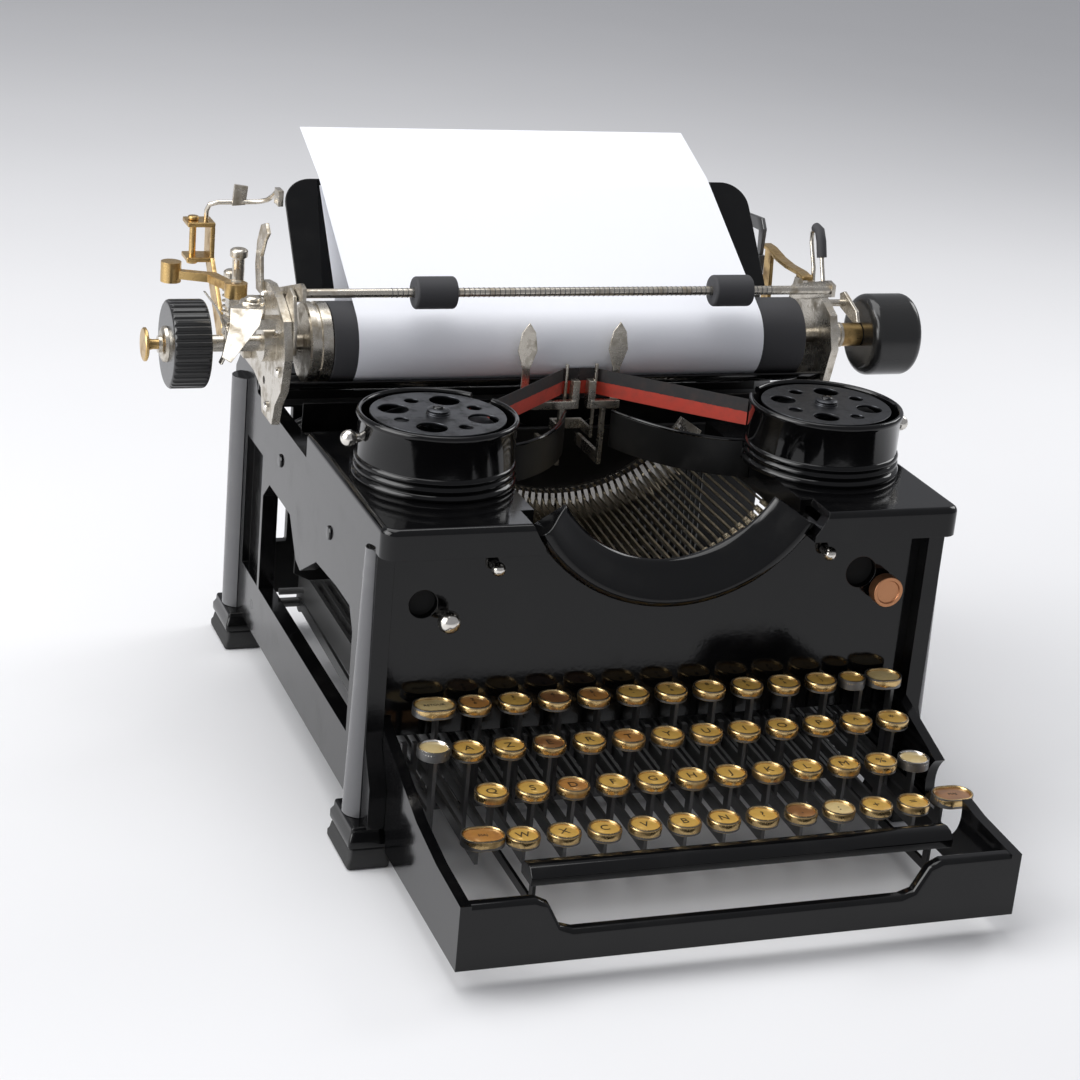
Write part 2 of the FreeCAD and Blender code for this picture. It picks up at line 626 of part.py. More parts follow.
def space_bar():
    """The long bar at the front, on two low arms that pass under the keys."""
    left = -87.0
    right = 115.0
    middle_y = 40.0
    top = 35.0
    profile = [
        (middle_y - 6.5, top - 8), (middle_y - 7, top - 4), (middle_y - 4, top - 0.8), (middle_y, top),
        (middle_y + 4, top - 0.8), (middle_y + 7, top - 4), (middle_y + 6.5, top - 8),
    ]
    pieces = [plate("X", profile, left, right)]
    for x in space_arm_places():
        low = x - LEVER_THICK / 2
        high = x + LEVER_THICK / 2
        pieces.append(box(low, high, middle_y - 2.5, middle_y + 2.5, 13, top - 6))
        pieces.append(plate("X", [
            (middle_y, 13), (COMB_Y + 30, 13), (PIVOT_Y, PIVOT_Z - 3), (PIVOT_Y, PIVOT_Z + 3),
            (COMB_Y + 24, 18), (middle_y, 18),
        ], low, high))
        pieces.append(rod("X", (low, PIVOT_Y, PIVOT_Z), EYE_RADIUS, LEVER_THICK))
    hole = rod("X", (-200, PIVOT_Y, PIVOT_Z), PIVOT_RADIUS + RUN, 400)
    return fuse(pieces).cut(hole)


def space_arm_places():
    """Where the two arms of the space bar run, between the other levers."""
    return [-83.6, 106.3]


def lever_places():
    """The sideways place of every lever that passes the comb."""
    places = list(space_arm_places())
    for first, y, top, count, aside in key_rows().values():
        places += [first + aside + KEY_PITCH * step for step in range(count)]
    places += [place[4] for place in function_keys().values()]
    places += [place[4] for place in shift_places()]
    return places


def key_lever_comb():
    """The shaft that the levers turn on, and the slotted comb that keeps them apart."""
    wide = FRAME_HALF - FRAME_WALL - TRAY_WALL
    rear = COMB_Y + COMB_DEPTH
    bar = box(-wide, wide, COMB_Y, rear, COMB_BOTTOM, COMB_TOP)
    ends = [box(x, x + TRAY_WALL, COMB_Y, rear, FOOT_HEIGHT, COMB_TOP) for x in (-wide - TRAY_WALL, wide)]
    gap = LEVER_THICK / 2 + SIDE_GAP
    slots = [box(x - gap, x + gap, COMB_Y - 1, rear + 1, COMB_BOTTOM + 2, COMB_TOP + 1) for x in lever_places()]
    comb = bar.cut(group(slots))
    shaft = rod("X", (-FRAME_HALF, PIVOT_Y, PIVOT_Z), PIVOT_RADIUS, 2 * FRAME_HALF)
    return group([fuse([comb] + ends), shaft])


# ---- carriage ----
def carriage_rail():
    """The straight rail on the side frames that the carriage runs along."""
    middle = RAIL_MIDDLE_Y
    return box(-FRAME_HALF, FRAME_HALF, middle - RAIL_HALF, middle + RAIL_HALF, FRAME_TOP, BASE_BOTTOM - SLIDE)


def guide_places():
    """Where the two upright guide rods of the carriage stand."""
    return (-100.0, 92.0)


def carriage_base():
    """The runner on the rail, with two upright rods that guide the shift and a rack at the back."""
    middle = RAIL_MIDDLE_Y
    inner = RAIL_HALF + SLIDE
    left = END_LEFT + 6
    right = END_RIGHT - 6
    parts = [box(left, right, middle - inner - 3, middle + inner + 3, BASE_BOTTOM, BASE_TOP)]
    for side in (-1, 1):
        low, high = sorted((middle + side * inner, middle + side * (inner + 3)))
        parts.append(box(left, right, low, high, BASE_BOTTOM - 5.5, BASE_BOTTOM))
    for x in guide_places():
        parts.append(rod("Z", (x, middle, BASE_TOP), GUIDE_RADIUS, TIE_TOP + 12 - BASE_TOP))
    rack_y = middle + 22
    parts.append(box(left, right, rack_y, rack_y + 4, BASE_TOP - 4, BASE_TOP + 6))
    for x in (left, right - 5):
        parts.append(box(x, x + 5, middle + inner + 3, rack_y, BASE_TOP - 4, BASE_TOP))
    return fuse(parts)


def end_plate_outline():
    """The side view of a carriage end plate: platen bearing, bail pivot and rear foot."""
    return [
        (252, 178), (247, 196), (253, 212), (268, 219), (284, 222), (298, 220), (302, 208), (304, 190),
        (342, 184), (342, 172), (306, 172), (290, 168), (286, 157), (266, 157), (262, 168),
    ]


def carriage_frame():
    """The part that shifts: two end plates, the tie bar on the guide rods and the bearings."""
    middle = RAIL_MIDDLE_Y
    outline = end_plate_outline()
    left = plate("X", outline, END_LEFT - END_WALL, END_LEFT)
    right = plate("X", outline, END_RIGHT, END_RIGHT + END_WALL)
    tie = box(END_LEFT, END_RIGHT, middle - 8, middle + 8, TIE_BOTTOM, TIE_TOP)
    sleeves = [rod("Z", (x, middle, TIE_BOTTOM - 3), 8.0, TIE_TOP - TIE_BOTTOM + 6) for x in guide_places()]
    bushing = rod("X", (END_RIGHT, PLATEN_Y, PLATEN_Z), 8.0, END_WALL + 4)
    boss = rod("X", (END_LEFT - END_WALL - 6, PLATEN_Y, PLATEN_Z), 9.0, END_WALL + 6)
    studs = lever_stud(STUD_X, LINE_STUD_Y, STUD_Z, STUD_Z + 9) + lever_stud(STUD_X, FREE_STUD_Y, STUD_Z, STUD_Z + 8)
    frame = fuse([left, right, tie, bushing, boss] + sleeves + studs)
    holes = [rod("Z", (x, middle, 100), GUIDE_RADIUS + RUN, 200) for x in guide_places()]
    holes.append(rod("X", (-300, PLATEN_Y, PLATEN_Z), AXLE_RADIUS + RUN, 600))
    holes.append(rod("X", (-300, BAIL_PIVOT_Y, BAIL_PIVOT_Z), 2.0 + RUN, 600))
    feed_y, feed_z = feed_place()
    holes.append(rod("X", (-300, feed_y, feed_z), 2.0 + RUN, 600))
    holes.append(rod("X", (0, RELEASE_Y, RELEASE_Z), 2.0 + RUN, 300))
    return frame.cut(group(holes))


def platen():
    """The rubber roller on its core, bored for the axle."""
    length = PLATEN_RIGHT - PLATEN_LEFT
    return pipe("X", (PLATEN_LEFT, PLATEN_Y, PLATEN_Z), PLATEN_RADIUS, AXLE_RADIUS, length)


def platen_axle():
    """The axle, the ratchet ring at the platen's left end and the clutch button at the left tip."""
    axle = rod("X", (LEFT_TIP + 5, PLATEN_Y, PLATEN_Z), AXLE_RADIUS, RIGHT_TIP - 10 - LEFT_TIP)
    ring = rod("X", (PLATEN_LEFT - 11.5, PLATEN_Y, PLATEN_Z), PLATEN_RADIUS, 11.5)
    groove = pipe("X", (PLATEN_LEFT - 7.5, PLATEN_Y, PLATEN_Z), PLATEN_RADIUS + 1, PLATEN_RADIUS - 1.5, 2)
    button = rod("X", (LEFT_TIP, PLATEN_Y, PLATEN_Z), 8.0, 5.0)
    sleeve = rod("X", (END_RIGHT + END_WALL + 5, PLATEN_Y, PLATEN_Z), 6.0, 18.0)
    return fuse([axle, ring.cut(groove), button, sleeve])


def knob(start, length, ribs):
    """A platen knob on the axle, with ribs round its rim if it has any."""
    disc = rod("X", (start, PLATEN_Y, PLATEN_Z), KNOB_RADIUS, length)
    disc = round_edges(disc, 5.0 if not ribs else 2.0, lambda m, e: e.Length > 2 * math.pi * KNOB_RADIUS * 0.9)
    cuts = []
    for step in range(ribs):
        angle = 2 * math.pi * step / ribs
        at = (start - 1, PLATEN_Y + (KNOB_RADIUS + 0.5) * math.cos(angle), PLATEN_Z + (KNOB_RADIUS + 0.5) * math.sin(angle))
        cuts.append(rod("X", at, 1.3, length + 2))
    if cuts:
        disc = disc.cut(group(cuts))
    return disc.cut(rod("X", (start - 1, PLATEN_Y, PLATEN_Z), AXLE_RADIUS, length + 2))


def platen_knobs():
    """The ribbed left knob and the plain right knob."""
    return group([knob(-201.0, 18.0, 36), knob(RIGHT_TIP - 27.5, 27.5, 0)])


def feed_place():
    """The feed roller's axis, behind and under the platen with the paper between them."""
    reach = PLATEN_RADIUS + PAPER_THICK + 2 * PAPER_GAP + FEED_RADIUS
    angle = math.radians(60)
    return PLATEN_Y + reach * math.cos(angle), PLATEN_Z - reach * math.sin(angle)


def feed_roller():
    """The feed roller: a shaft in the end plates with four rubber sleeves."""
    y, z = feed_place()
    parts = [rod("X", (END_LEFT - END_WALL + 0.5, y, z), 2.0, END_RIGHT - END_LEFT + 2 * END_WALL - 1)]
    for x in (-105, -45, 20, 78):
        parts.append(rod("X", (x, y, z), FEED_RADIUS, 24))
    return fuse(parts)


def table_line():
    """The paper table's lower and upper edge in side view."""
    return (303.0, 214.0), (343.0, 259.0)


def paper_table():
    """The sloping plate behind the platen, with rounded top corners and two brackets to the tie bar."""
    (y0, z0), (y1, z1) = table_line()
    length = math.hypot(y1 - y0, z1 - z0)
    lean = math.degrees(math.atan2(z1 - z0, y1 - y0))
    left = -131.0
    right = 119.0
    sheet = box(left, right, 0, length, -TABLE_WALL, 0)
    sheet = round_edges(
        sheet, 14.0, lambda m, e: m.y > length - 0.01 and abs(m.z + TABLE_WALL / 2) < 0.01
    )
    sheet.rotate(V(0, 0, 0), V(1, 0, 0), lean)
    sheet.translate(V(0, y0, z0))
    brackets = []
    for x in (-80.0, 66.0):
        side = [(y0 + 6, z0 + 5.5), (y0 + 18, z0 + 19), (RAIL_MIDDLE_Y + 6, TIE_TOP), (RAIL_MIDDLE_Y - 8, TIE_TOP)]
        brackets.append(plate("X", side, x, x + 3))
    return fuse([sheet] + brackets)


def paper_pan():
    """The curved plate under the platen that guides the sheet round it."""
    inner = PLATEN_RADIUS + 2.0
    points = []
    for radius, angles in ((inner, range(222, 283, 4)), (inner + TABLE_WALL, range(282, 221, -4))):
        for degrees in angles:
            angle = math.radians(degrees)
            points.append((PLATEN_Y + radius * math.cos(angle), PLATEN_Z + radius * math.sin(angle)))
    return plate("X", points, END_LEFT, END_RIGHT)


def paper_face(radius, shift):
    """One face of the sheet in side view: over the table's edge, round the platen and up the table."""
    (low_y, low_z), (high_y, high_z) = table_line()
    lean = math.atan2(high_z - low_z, high_y - low_y)
    start = (PAPER_TOP_Y, PAPER_TOP_Z + shift)
    bend = (high_y - 1, high_z + 1.5 + shift)
    foot = (low_y - 1 + shift * math.sin(lean), low_z + 1 - shift * math.cos(lean))

    def touch(point, sign):
        """The angle where a line from a point touches a circle round the platen, and the line's length."""
        y = point[0] - PLATEN_Y
        z = point[1] - PLATEN_Z
        away = math.hypot(y, z)
        return math.atan2(z, y) + sign * math.acos(radius / away), math.sqrt(away ** 2 - radius ** 2)

    first, rise = touch(bend, 1)
    last, run_in = touch(foot, -1)
    last += 2 * math.pi
    angles = [first + (last - first) * step / PAPER_FACETS for step in range(PAPER_FACETS + 1)]
    wrap = [(PLATEN_Y + radius * math.cos(a), PLATEN_Z + radius * math.sin(a)) for a in angles]
    used = math.dist(start, bend) + rise + (PLATEN_RADIUS + PAPER_GAP) * (last - first) + run_in
    left_over = PAPER_LENGTH - used
    tail = (foot[0] + left_over * math.cos(lean), foot[1] + left_over * math.sin(lean))
    return [start, bend] + wrap + [foot, tail]


def paper():
    """The sheet: down the table behind the platen, round it, up its front and back over the table."""
    inner = PLATEN_RADIUS + PAPER_GAP
    outline = paper_face(inner + PAPER_THICK, PAPER_THICK) + paper_face(inner, 0.0)[::-1]
    return plate("X", outline, PAPER_LEFT, PAPER_LEFT + PAPER_WIDTH)


def paper_bail():
    """The rod across the paper, on two arms that swing from the end plates."""
    left = END_LEFT + 2.5
    right = END_RIGHT - 4.5
    parts = [rod("X", (left, BAIL_Y, BAIL_Z), BAIL_RADIUS, right + 2 - left)]
    for x, pin_start in ((left, END_LEFT - END_WALL), (right, right)):
        arm = [
            (BAIL_Y - 3, BAIL_Z - 3), (BAIL_Y - 3, BAIL_Z + 3), (BAIL_Y + 3, BAIL_Z + 4), (BAIL_PIVOT_Y, BAIL_PIVOT_Z + 4),
            (BAIL_PIVOT_Y + 4, BAIL_PIVOT_Z), (BAIL_PIVOT_Y, BAIL_PIVOT_Z - 4),
        ]
        parts.append(plate("X", arm, x, x + 2))
        reach = 2.5 + END_WALL if x == left else END_RIGHT + END_WALL - right
        parts.append(rod("X", (pin_start, BAIL_PIVOT_Y, BAIL_PIVOT_Z), 2.0, reach))
    return fuse(parts)


def bail_rollers():
    """Two small rubber rollers that turn on the bail rod."""
    rollers = []
    for x in (-89.0, 64.0):
        tube = pipe("X", (x, BAIL_Y, BAIL_Z), BAIL_ROLLER_RADIUS, BAIL_RADIUS + RUN, 20.5)
        rollers.append(round_edges(tube, 1.5, lambda m, e: e.Length > 40))
    return group(rollers)


def line_space_lever():
    """The folded lever at the left end that turns up the platen, on an upright pin."""
    pivot_x = STUD_X
    hub = pipe("Z", (pivot_x, LINE_STUD_Y, STUD_Z + SLIDE), 6.0, STUD_RADIUS + RUN, 8)
    arm = plate("Z", [(pivot_x - 3, 258), (pivot_x - 30, 226), (pivot_x - 26, 222), (pivot_x + 3, 257)], 213, 219)
    grip = plate("Z", [(pivot_x - 30, 226), (pivot_x - 33, 219), (pivot_x - 29, 217), (pivot_x - 26, 222)], 203, 219)
    return fuse([hub, arm, grip])


def lever_stud(x, y, low, high):
    """The upright pin that carries a hand lever, standing on a lug of the left end plate."""
    lug = box(x - 4, END_LEFT - END_WALL, y - 4, y + 4, low - 5, low)
    return [lug, rod("Z", (x, y, low - 5), STUD_RADIUS, high - low + 5)]


def carriage_release_lever():
    """The thumb lever behind the left knob, which frees the carriage."""
    x = STUD_X
    hub = pipe("Z", (x, FREE_STUD_Y, STUD_Z + SLIDE), 5.5, STUD_RADIUS + RUN, 7)
    arm = plate("Z", [(x - 2, 300), (x + 3, 300), (x - 4, 322), (x - 24, 330), (x - 26, 326), (x - 9, 318)], 213, 217)
    pad = rod("Z", (x - 25, 328, 211), 5.0, 10)
    return fuse([hub, arm, pad])


def paper_release_lever():
    """The wire lever at the right end that frees the feed roller."""
    x = END_RIGHT + END_WALL
    hub = rod("X", (x + SLIDE, RELEASE_Y, RELEASE_Z), 6.0, 3.0)
    pin = rod("X", (x - END_WALL, RELEASE_Y, RELEASE_Z), 2.0, END_WALL + SLIDE + 1)
    arm = plate("X", [(290, 203), (298, 203), (286, 236), (281, 248), (277, 246), (282, 232)], x + SLIDE, x + SLIDE + 2.5)
    sleeve = rod("Z", (x + SLIDE + 3, 279, 236), 4.0, 18)
    return fuse([hub, pin, arm, sleeve])


def mainspring_drum():
    """The spring drum that draws the carriage along."""
    drum = rod("Y", (-95, FRAME_REAR - 28, 100), 25.0, 14)
    groove = pipe("Y", (-95, FRAME_REAR - 24, 100), 26.0, 23.0, 6)
    return drum.cut(groove).cut(rod("Y", (-95, 0, 100), 4.0 + RUN, 500))


def selector_knob(index, ball):
    """A control on the front panel: a shaft through the plate with a ball or a ringed disc."""
    x, z = panel_controls()[index][:2]
    shaft = rod("Y", (x, PANEL_FRONT - 6, z), 2.5, 20)
    collar = rod("Y", (x, PANEL_FRONT + PANEL_WALL + SLIDE, z), 5.0, 3)
    if ball:
        head = Part.makeSphere(5.2, V(x, PANEL_FRONT - 9, z))
    else:
        head = rod("Y", (x, PANEL_FRONT - 9, z), 7.5, 6)
        head = head.cut(rod("Y", (x, PANEL_FRONT - 10, z), 5.6, 1.8))
    return fuse([shaft, collar, head])


def write_all():
    """Writes every part of the machine."""
    os.makedirs("parts", exist_ok=True)
    left = side_frame()
    save("side_frame_left", left)
    save("side_frame_right", mirrored(left))
    save("rubber_feet", rubber_feet())
    save("keyboard_tray", keyboard_tray())
    save("front_panel", front_panel())
    save("basket_rim", basket_rim())
    save("cover_left", cover(-1))
    save("cover_right", cover(1))
    save("back_frame", back_frame())
    save("spool_cups", group([spool_cup(-1), spool_cup(1)]))
    save("spool_left", spool(-1, LARGE_HOLES["left"]))
    save("spool_right", spool(1, LARGE_HOLES["right"]))
    save("frame_screws", frame_screws())
    save("typebars", typebars())
    save("centre_typebar", centre_typebar())
    save("type_segment", type_segment())
    save("segment_bracket", segment_bracket())
    save("type_guide", type_guide())
    save("ribbon_vibrator", ribbon_vibrator())
    save("ribbon", ribbon())
    save("ribbon_guards", ribbon_guards())
    for number, shape in enumerate(row_keys("home_key"), 1):
        save("home_key_%02d" % number, shape)
    for name in ("digit_row_keys", "upper_row_keys", "lower_row_keys"):
        save(name, group(row_keys(name)))
    for name, place in function_keys().items():
        save(name, key(*place))
    save("shift_keys", shift_keys())
    save("space_bar", space_bar())
    save("key_lever_comb", key_lever_comb())
    save("carriage_rail", carriage_rail())
    save("carriage_base", carriage_base())
    save("carriage_frame", carriage_frame())
    save("platen", platen())
    save("platen_axle", platen_axle())
    save("platen_knobs", platen_knobs())
    save("feed_roller", feed_roller())
    save("paper_table", group([paper_table(), paper_pan()]))
    save("paper", paper())
    save("paper_bail", paper_bail())
    save("bail_rollers", bail_rollers())
    save("line_space_lever", line_space_lever())
    save("carriage_release_lever", carriage_release_lever())
    save("paper_release_lever", paper_release_lever())
    save("mainspring_drum", mainspring_drum())
    save("touch_control_knob", selector_knob(0, True))
    save("ribbon_selector_knob", selector_knob(1, False))


write_all()
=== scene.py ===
"""The looks of a front-strike desk typewriter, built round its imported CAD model.

Sizes are in the machine's own millimetres: X to the typist's right from the middle plane, Y away
from the typist from the front edge of the key tray, Z up from the table.
"""
import json
import logging
import math
from dataclasses import dataclass, field
from enum import Enum
from typing import Any, Callable, Iterable, Sequence

import bmesh
import bpy
from mathutils import Matrix, Vector


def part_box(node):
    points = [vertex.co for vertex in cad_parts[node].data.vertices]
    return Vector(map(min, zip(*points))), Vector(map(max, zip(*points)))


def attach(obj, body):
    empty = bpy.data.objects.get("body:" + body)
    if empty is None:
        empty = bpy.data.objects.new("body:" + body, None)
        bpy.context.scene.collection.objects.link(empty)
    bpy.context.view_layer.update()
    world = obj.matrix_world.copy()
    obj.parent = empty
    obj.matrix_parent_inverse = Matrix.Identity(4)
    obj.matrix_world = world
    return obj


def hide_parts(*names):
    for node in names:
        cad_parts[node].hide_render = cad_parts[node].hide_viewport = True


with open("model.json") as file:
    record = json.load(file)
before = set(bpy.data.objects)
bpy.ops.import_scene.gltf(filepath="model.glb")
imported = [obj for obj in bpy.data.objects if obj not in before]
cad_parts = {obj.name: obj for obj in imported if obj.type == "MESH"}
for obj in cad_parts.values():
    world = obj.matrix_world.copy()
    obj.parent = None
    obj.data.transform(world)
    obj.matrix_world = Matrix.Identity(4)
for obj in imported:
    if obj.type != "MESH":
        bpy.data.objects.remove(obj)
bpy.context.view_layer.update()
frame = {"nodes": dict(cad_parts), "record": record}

LOG = logging.getLogger("typewriter")
Colour = tuple[float, float, float]
Point = tuple[float, float, float]
MM = 0.001


def machine_origin() -> Vector:
    """Finds where the machine's own zero stands in the frame.

    Returns:
        The point on the middle plane at the tray's front edge, at table height, in metres.
    """
    left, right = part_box("side_frame_left"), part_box("side_frame_right")
    return Vector(((left[0][0] + right[1][0]) / 2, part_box("keyboard_tray")[0][1], 0.0))


ORIGIN = machine_origin()


def place(x: float, y: float, z: float) -> Vector:
    """Turns machine millimetres into a point of the frame, in metres."""
    return Vector((x, y, z)) * MM + ORIGIN


# ---- shader maths ----
class Signal:
    """A shader socket that takes part in Python arithmetic on plain numbers."""

    def __init__(self, shader: "Shader", socket: bpy.types.NodeSocket) -> None:
        """Keeps the socket and the shader it belongs to."""
        self.shader = shader
        self.socket = socket

    def maths(self, operation: str, other: Any, swapped: bool = False, clamp: bool = False) -> "Signal":
        """Adds a Math node on this value and another.

        Args:
            operation: the Math node's operation.
            other: a number or another value.
            swapped: whether the other value comes first.
            clamp: whether the result is held between 0 and 1.

        Returns:
            The node's result.
        """
        pair = (other, self) if swapped else (self, other)
        settings = {"operation": operation, "use_clamp": clamp}
        return self.shader.node("ShaderNodeMath", settings, {0: pair[0], 1: pair[1]})

    def __add__(self, other: Any) -> "Signal":
        """Adds."""
        return self.maths("ADD", other)

    __radd__ = __add__

    def __sub__(self, other: Any) -> "Signal":
        """Subtracts."""
        return self.maths("SUBTRACT", other)

    def __rsub__(self, other: Any) -> "Signal":
        """Subtracts this from the other value."""
        return self.maths("SUBTRACT", other, swapped=True)

    def __mul__(self, other: Any) -> "Signal":
        """Multiplies."""
        return self.maths("MULTIPLY", other)

    __rmul__ = __mul__

    def __gt__(self, other: Any) -> "Signal":
        """Gives 1 where this is the larger value."""
        return self.maths("GREATER_THAN", other)

    def held(self) -> "Signal":
        """Holds the value between 0 and 1."""
        return self.maths("ADD", 0.0, clamp=True)


class Shader:
    """One material, with a Principled shader that the finishes fill in."""

    def __init__(self, name: str) -> None:
        """Makes the material with an output and a Principled shader."""
        self.material = bpy.data.materials.new(name)
        self.material.use_nodes = True
        self.tree = self.material.node_tree
        self.tree.nodes.clear()
        self.body = self.tree.nodes.new("ShaderNodeBsdfPrincipled")
        output = self.tree.nodes.new("ShaderNodeOutputMaterial")
        self.tree.links.new(self.body.outputs[0], output.inputs[0])

    def node(self, kind: str, settings: dict[str, Any], inputs: dict[Any, Any], output: int = 0) -> Signal:
        """Adds a node.

        Args:
            kind: the node's type.
            settings: its properties, and "stops" for a ramp: places with their colours.
            inputs: values or signals by socket name or number.
            output: the number of the output wanted.

        Returns:
            The chosen output.
        """
        made = self.tree.nodes.new(kind)
        for key, value in settings.items():
            if key == "stops":
                for spot, (at, colour) in enumerate(value):
                    stop = made.color_ramp.elements[spot] if spot < 2 else made.color_ramp.elements.new(at)
                    stop.position, stop.color = at, (*colour, 1.0)
            else:
                setattr(made, key, value)
        for key, value in inputs.items():
            self.feed(made.inputs[key], value)
        return Signal(self, made.outputs[output])

    def feed(self, socket: bpy.types.NodeSocket, value: Any) -> None:
        """Sets a socket to a number or colour, or links it to a signal."""
        if isinstance(value, Signal):
            self.tree.links.new(value.socket, socket)
        elif isinstance(value, tuple) and len(value) == 3 and socket.type == "RGBA":
            socket.default_value = (*value, 1.0)
        else:
            socket.default_value = value

    def spot(self) -> Signal:
        """Gives the place on the piece."""
        return self.node("ShaderNodeTexCoord", {}, {}, output=3)

    def stretched(self, scale: Point) -> Signal:
        """Gives the place on the piece, scaled along each axis."""
        return self.node("ShaderNodeMapping", {}, {0: self.spot(), "Scale": scale})

    def noise(
        self, scale: float, detail: float = 4.0, rough: float = 0.6, where: Signal | None = None
    ) -> Signal:
        """Gives cloudy noise with so many lumps to the metre."""
        inputs = {"Vector": where or self.spot(), "Scale": scale, "Detail": detail, "Roughness": rough}
        return self.node("ShaderNodeTexNoise", {}, inputs)

    def patches(self, scale: float, low: float, high: float, detail: float = 5.0) -> Signal:
        """Gives soft-edged patches: 0 where the noise is under low, 1 where it is over high."""
        settings = {"clamp": True, "interpolation_type": "SMOOTHSTEP"}
        return self.node("ShaderNodeMapRange", settings, {0: self.noise(scale, detail), 1: low, 2: high})

    def mix(self, factor: Signal, first: Any, second: Any) -> Signal:
        """Mixes two colours by a value."""
        made = self.tree.nodes.new("ShaderNodeMix")
        made.data_type = "RGBA"
        for socket, value in zip((made.inputs[0], made.inputs[6], made.inputs[7]), (factor, first, second)):
            self.feed(socket, value)
        return Signal(self, made.outputs[2])

    def bump(self, height: Signal, strength: float, depth: float) -> None:
        """Roughens the surface: strength from 0 to 1, depth in metres."""
        inputs = {"Strength": strength, "Distance": depth, "Height": height}
        self.feed(self.body.inputs["Normal"], self.node("ShaderNodeBump", {}, inputs))

    def dress(self, **values: Any) -> bpy.types.Material:
        """Fills in the Principled shader's sockets.

        Args:
            values: numbers, colours or signals by socket name, with _ for a space.

        Returns:
            The finished material.
        """
        for name, value in values.items():
            self.feed(self.body.inputs[name.replace("_", " ")], value)
        return self.material


# ---- finishes ----
@dataclass(frozen=True)
class Enamel:
    """Stoved black enamel: deep gloss with a faint orange peel, rubbed dull and dusty in places."""

    name: str
    colour: Colour = (0.0025, 0.0025, 0.0028)
    dust: Colour = (0.022, 0.021, 0.019)
    roughness: float = 0.05
    wear: float = 0.5

    def material(self) -> bpy.types.Material:
        """Builds the enamel."""
        shader = Shader(self.name)
        dusty = shader.patches(45.0, 0.46, 0.78) * self.wear
        specks = shader.patches(900.0, 0.66, 0.74, 2.0) * 0.5
        smears = shader.noise(18.0, 6.0)
        shader.bump(shader.noise(420.0, 2.0), 0.06, 0.0003)
        colour = shader.mix((dusty * 0.35 + specks * 0.25).held(), self.colour, self.dust)
        rough = dusty * 0.14 + smears * 0.07 + self.roughness
        return shader.dress(Base_Color=colour, Roughness=rough, Specular_IOR_Level=0.34)


@dataclass(frozen=True)
class AgedMetal:
    """Plated or bare metal, warm and dull where the plating has gone."""

    name: str
    colour: Colour
    tarnish: Colour
    roughness: float = 0.22
    cover: tuple[float, float] = (0.45, 0.72)

    def material(self) -> bpy.types.Material:
        """Builds the metal."""
        shader = Shader(self.name)
        aged = shader.patches(120.0, *self.cover)
        pits = shader.patches(1500.0, 0.6, 0.75, 2.0)
        brushed = shader.noise(60.0, 3.0, where=shader.stretched((1.0, 14.0, 14.0)))
        shader.bump(pits + brushed * 0.5, 0.12, 0.00015)
        colour = shader.mix((aged * 0.8 + pits * 0.3).held(), self.colour, self.tarnish)
        rough = aged * 0.22 + pits * 0.15 + brushed * 0.08 + self.roughness
        return shader.dress(Base_Color=colour, Roughness=rough, Metallic=1.0 - pits * 0.35)


@dataclass(frozen=True)
class Rubber:
    """Old rubber: matte, greyed by handling and finely pitted."""

    name: str
    colour: Colour = (0.012, 0.013, 0.015)
    bloom: Colour = (0.032, 0.033, 0.035)
    roughness: float = 0.55

    def material(self) -> bpy.types.Material:
        """Builds the rubber."""
        shader = Shader(self.name)
        grey = shader.patches(70.0, 0.4, 0.75)
        grain = shader.noise(2500.0, 2.0)
        shader.bump(grain, 0.2, 0.0002)
        colour = shader.mix(grey * 0.7, self.colour, self.bloom)
        return shader.dress(Base_Color=colour, Roughness=grey * 0.15 + grain * 0.1 + self.roughness)


@dataclass(frozen=True)
class LegendCard:
    """A key's legend card under a clear cap, yellowed unevenly with age."""

    name: str
    colour: Colour
    stain: Colour
    stained: float = 0.5
    grime: Colour = (0.10, 0.05, 0.015)

    def material(self) -> bpy.types.Material:
        """Builds the card with its clear cap as a coat."""
        shader = Shader(self.name)
        yellowed = shader.patches(170.0, 0.38, 0.68)
        soiled = shader.patches(800.0, 0.6, 0.78, 3.0)
        colour = shader.mix(yellowed * self.stained, self.colour, self.stain)
        colour = shader.mix(soiled * 0.4, colour, self.grime)
        shader.bump(shader.noise(900.0), 0.08, 0.0001)
        return shader.dress(
            Base_Color=colour, Roughness=yellowed * 0.15 + 0.35, Coat_Weight=0.7, Coat_Roughness=0.08
        )


@dataclass(frozen=True)
class Ink:
    """Printed black lettering."""

    name: str
    colour: Colour = (0.02, 0.013, 0.008)
    faded: Colour = (0.10, 0.06, 0.02)

    def material(self) -> bpy.types.Material:
        """Builds the ink, a little faded."""
        shader = Shader(self.name)
        faded = shader.patches(500.0, 0.45, 0.8)
        colour = shader.mix(faded * 0.5, self.colour, self.faded)
        return shader.dress(Base_Color=colour, Roughness=faded * 0.1 + 0.45)


@dataclass(frozen=True)
class PaperStock:
    """Bluish white writing paper with a fine fibre."""

    name: str
    colour: Colour = (0.86, 0.875, 0.93)
    cloud: Colour = (0.91, 0.92, 0.955)

    def material(self) -> bpy.types.Material:
        """Builds the paper."""
        shader = Shader(self.name)
        cloud = shader.noise(25.0, 3.0)
        fibre = shader.noise(1800.0, 3.0, where=shader.stretched((1.0, 0.35, 0.35)))
        shader.bump(fibre, 0.12, 0.0001)
        colour = shader.mix(cloud * 0.5 + fibre * 0.2, self.colour, self.cloud)
        return shader.dress(Base_Color=colour, Roughness=fibre * 0.1 + 0.8, Specular_IOR_Level=0.25)


